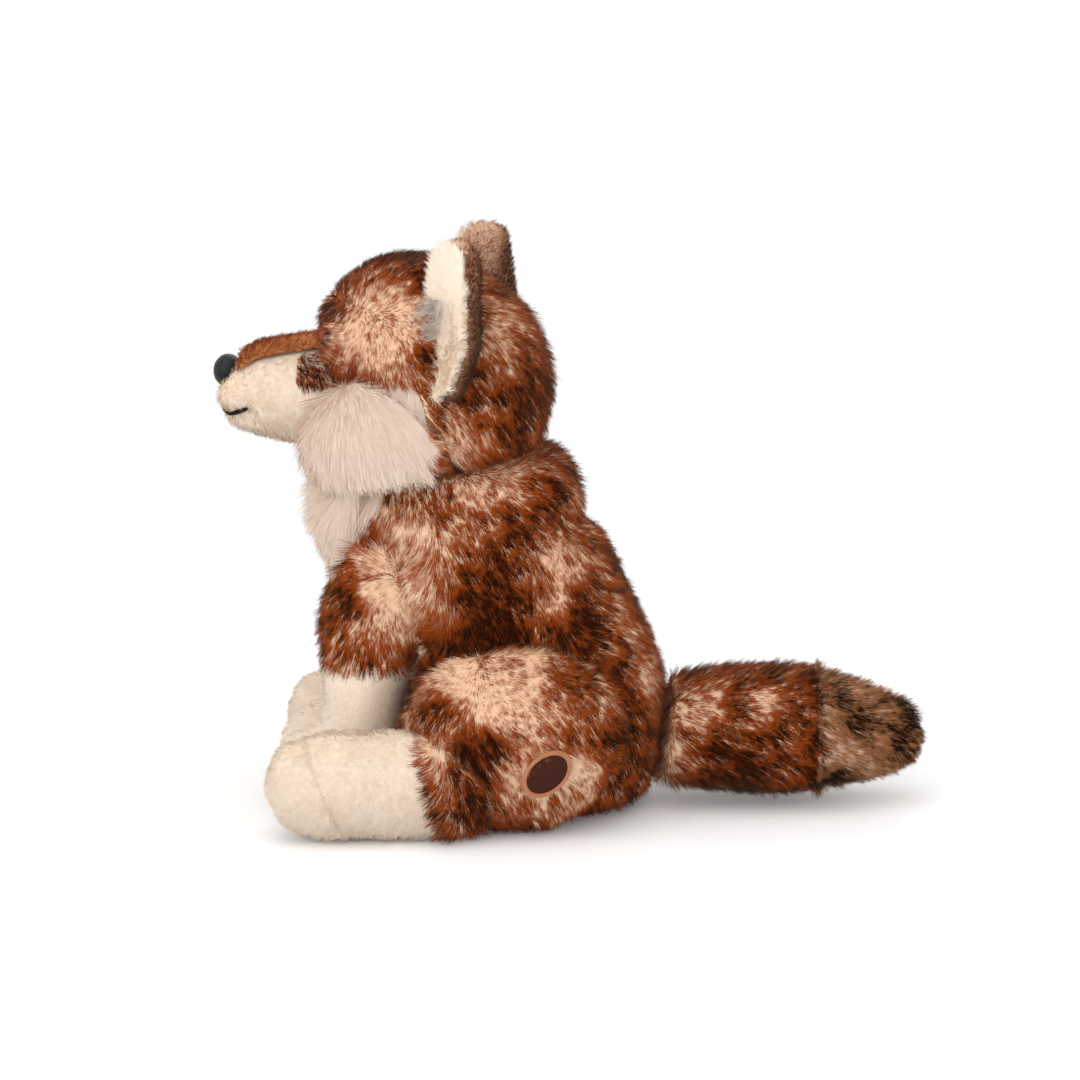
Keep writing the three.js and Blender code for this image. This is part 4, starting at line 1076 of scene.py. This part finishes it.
bpy.ops.object.select_all(action="DESELECT")
bpy.ops.mesh.primitive_circle_add(vertices=64, radius=1, fill_type="NGON")
field = bpy.context.object
field.name = "badge_field"
bpy.ops.object.mode_set(mode="EDIT")
bpy.ops.mesh.select_all(action="SELECT")
bpy.ops.mesh.extrude_region_move(TRANSFORM_OT_translate={"value": (0, 0, 0.1)})
for ring in range(4):
    bpy.ops.mesh.inset(thickness=0.2, depth=0.02)
bpy.ops.object.mode_set(mode="OBJECT")
field.data.transform(badge_place @ badge_lift @ Matrix.Diagonal((0.0102, 0.0072, 0.005, 1)))
bpy.ops.object.shade_smooth_by_angle(angle=math.radians(40))
twill, twill_tree, twill_shader = plain_finish("brown twill")
twill_where = twill_tree.nodes.new("ShaderNodeTexCoord")
twill_turn = node_in(twill_tree, "ShaderNodeMapping", Vector=twill_where.outputs["Object"], Rotation=(0.9, 0, 0))
twill_lines = node_in(
    twill_tree, "ShaderNodeTexWave", Vector=twill_turn.outputs[0], Scale=420.0, Distortion=0.8, Detail=1.0,
)
twill_lines.bands_direction = "Y"
two_toned(twill_tree, twill_shader, twill_lines.outputs["Fac"], (50, 22, 14), (78, 40, 28))
bumpy(twill_tree, twill_shader, twill_lines.outputs["Fac"], 0.5, 0.0003)
fed(twill_tree, twill_shader, Roughness=0.75, Specular__IOR__Level=0.1)
sewn_on(field, "left_hind_leg", twill, ["hip_badge"])


# Tail: a stuffed tube of the brown fur, with a tip of greyer, darker fur sewn on past a seam.
# It is sewn to the rump and lies on the floor.
def tail_flow(root, normal):
    """Back towards the tip and a little down."""
    return np.array([0.0, 1.0, -0.35]) + 0.8 * swirls(root, 0.025)


tip_marks = np.array([
    (0.018, 0.121, 0.041, 0.006, 0.6), (0.014, 0.141, 0.032, 0.006, 0.7), (0.005, 0.145, 0.042, 0.005, 0.5),
    (0.015, 0.112, 0.014, 0.006, 0.6), (0.011, 0.116, 0.051, 0.005, 0.45),
])


def tip_tone(root):
    """Frosted, with a few near-black blotches."""
    mirrored = on_left(root)
    tone = 0.3 + 0.5 * blotches(root, 0.011, 9.0) + 0.35 * blotches(root, 0.005, 1.0)
    for x, y, z, reach, change in tip_marks:
        apart = np.linalg.norm(mirrored - np.array([x, y, z]), axis=1)
        tone += 1.3 * change * np.exp(-((apart / (1.3 * reach)) ** 2))
    return tone


tail_seam = 0.108


def tail_tone(root):
    """As on the back, with a dark band before the seam."""
    return fur_tone(root) + 0.14 + 0.3 * np.exp(-(((root[:, 1] - tail_seam + 0.003) / 0.005) ** 2))


tail_skin = stuffed_skin("tail_skin", ["tail_cover", "tail_tip", "tail_stuffing"], 0.004, 0.0022)
tip_skin = cut_at_seam(tail_skin, "tail_tip_skin", (0, tail_seam, 0), (0, 1, 0))
sewn_on(tail_skin, "tail", brown_backing, ["tail_cover", "tail_stuffing"])
tip_backing = backing_finish("grey fur backing", (150, 112, 88), (64, 38, 24), 0.01)
sewn_on(tip_skin, "tail", tip_backing, ["tail_tip"])
furred(
    "tail", "brown_fur", brown_strands,
    "tail_pile", tail_skin, 4.5, 0.0078, 0.0003, 58, tail_flow, tail_tone, 81, ["torso_cover"],
)
tip_strands = strand_finish("grey tip pile", (232, 196, 168), (156, 102, 66), (16, 3, 0))
furred(
    "tail", "grey_brown_fur", tip_strands,
    "tail_tip_pile", tip_skin, 4.5, 0.008, 0.00034, 52, tail_flow, tip_tone, 82,
)
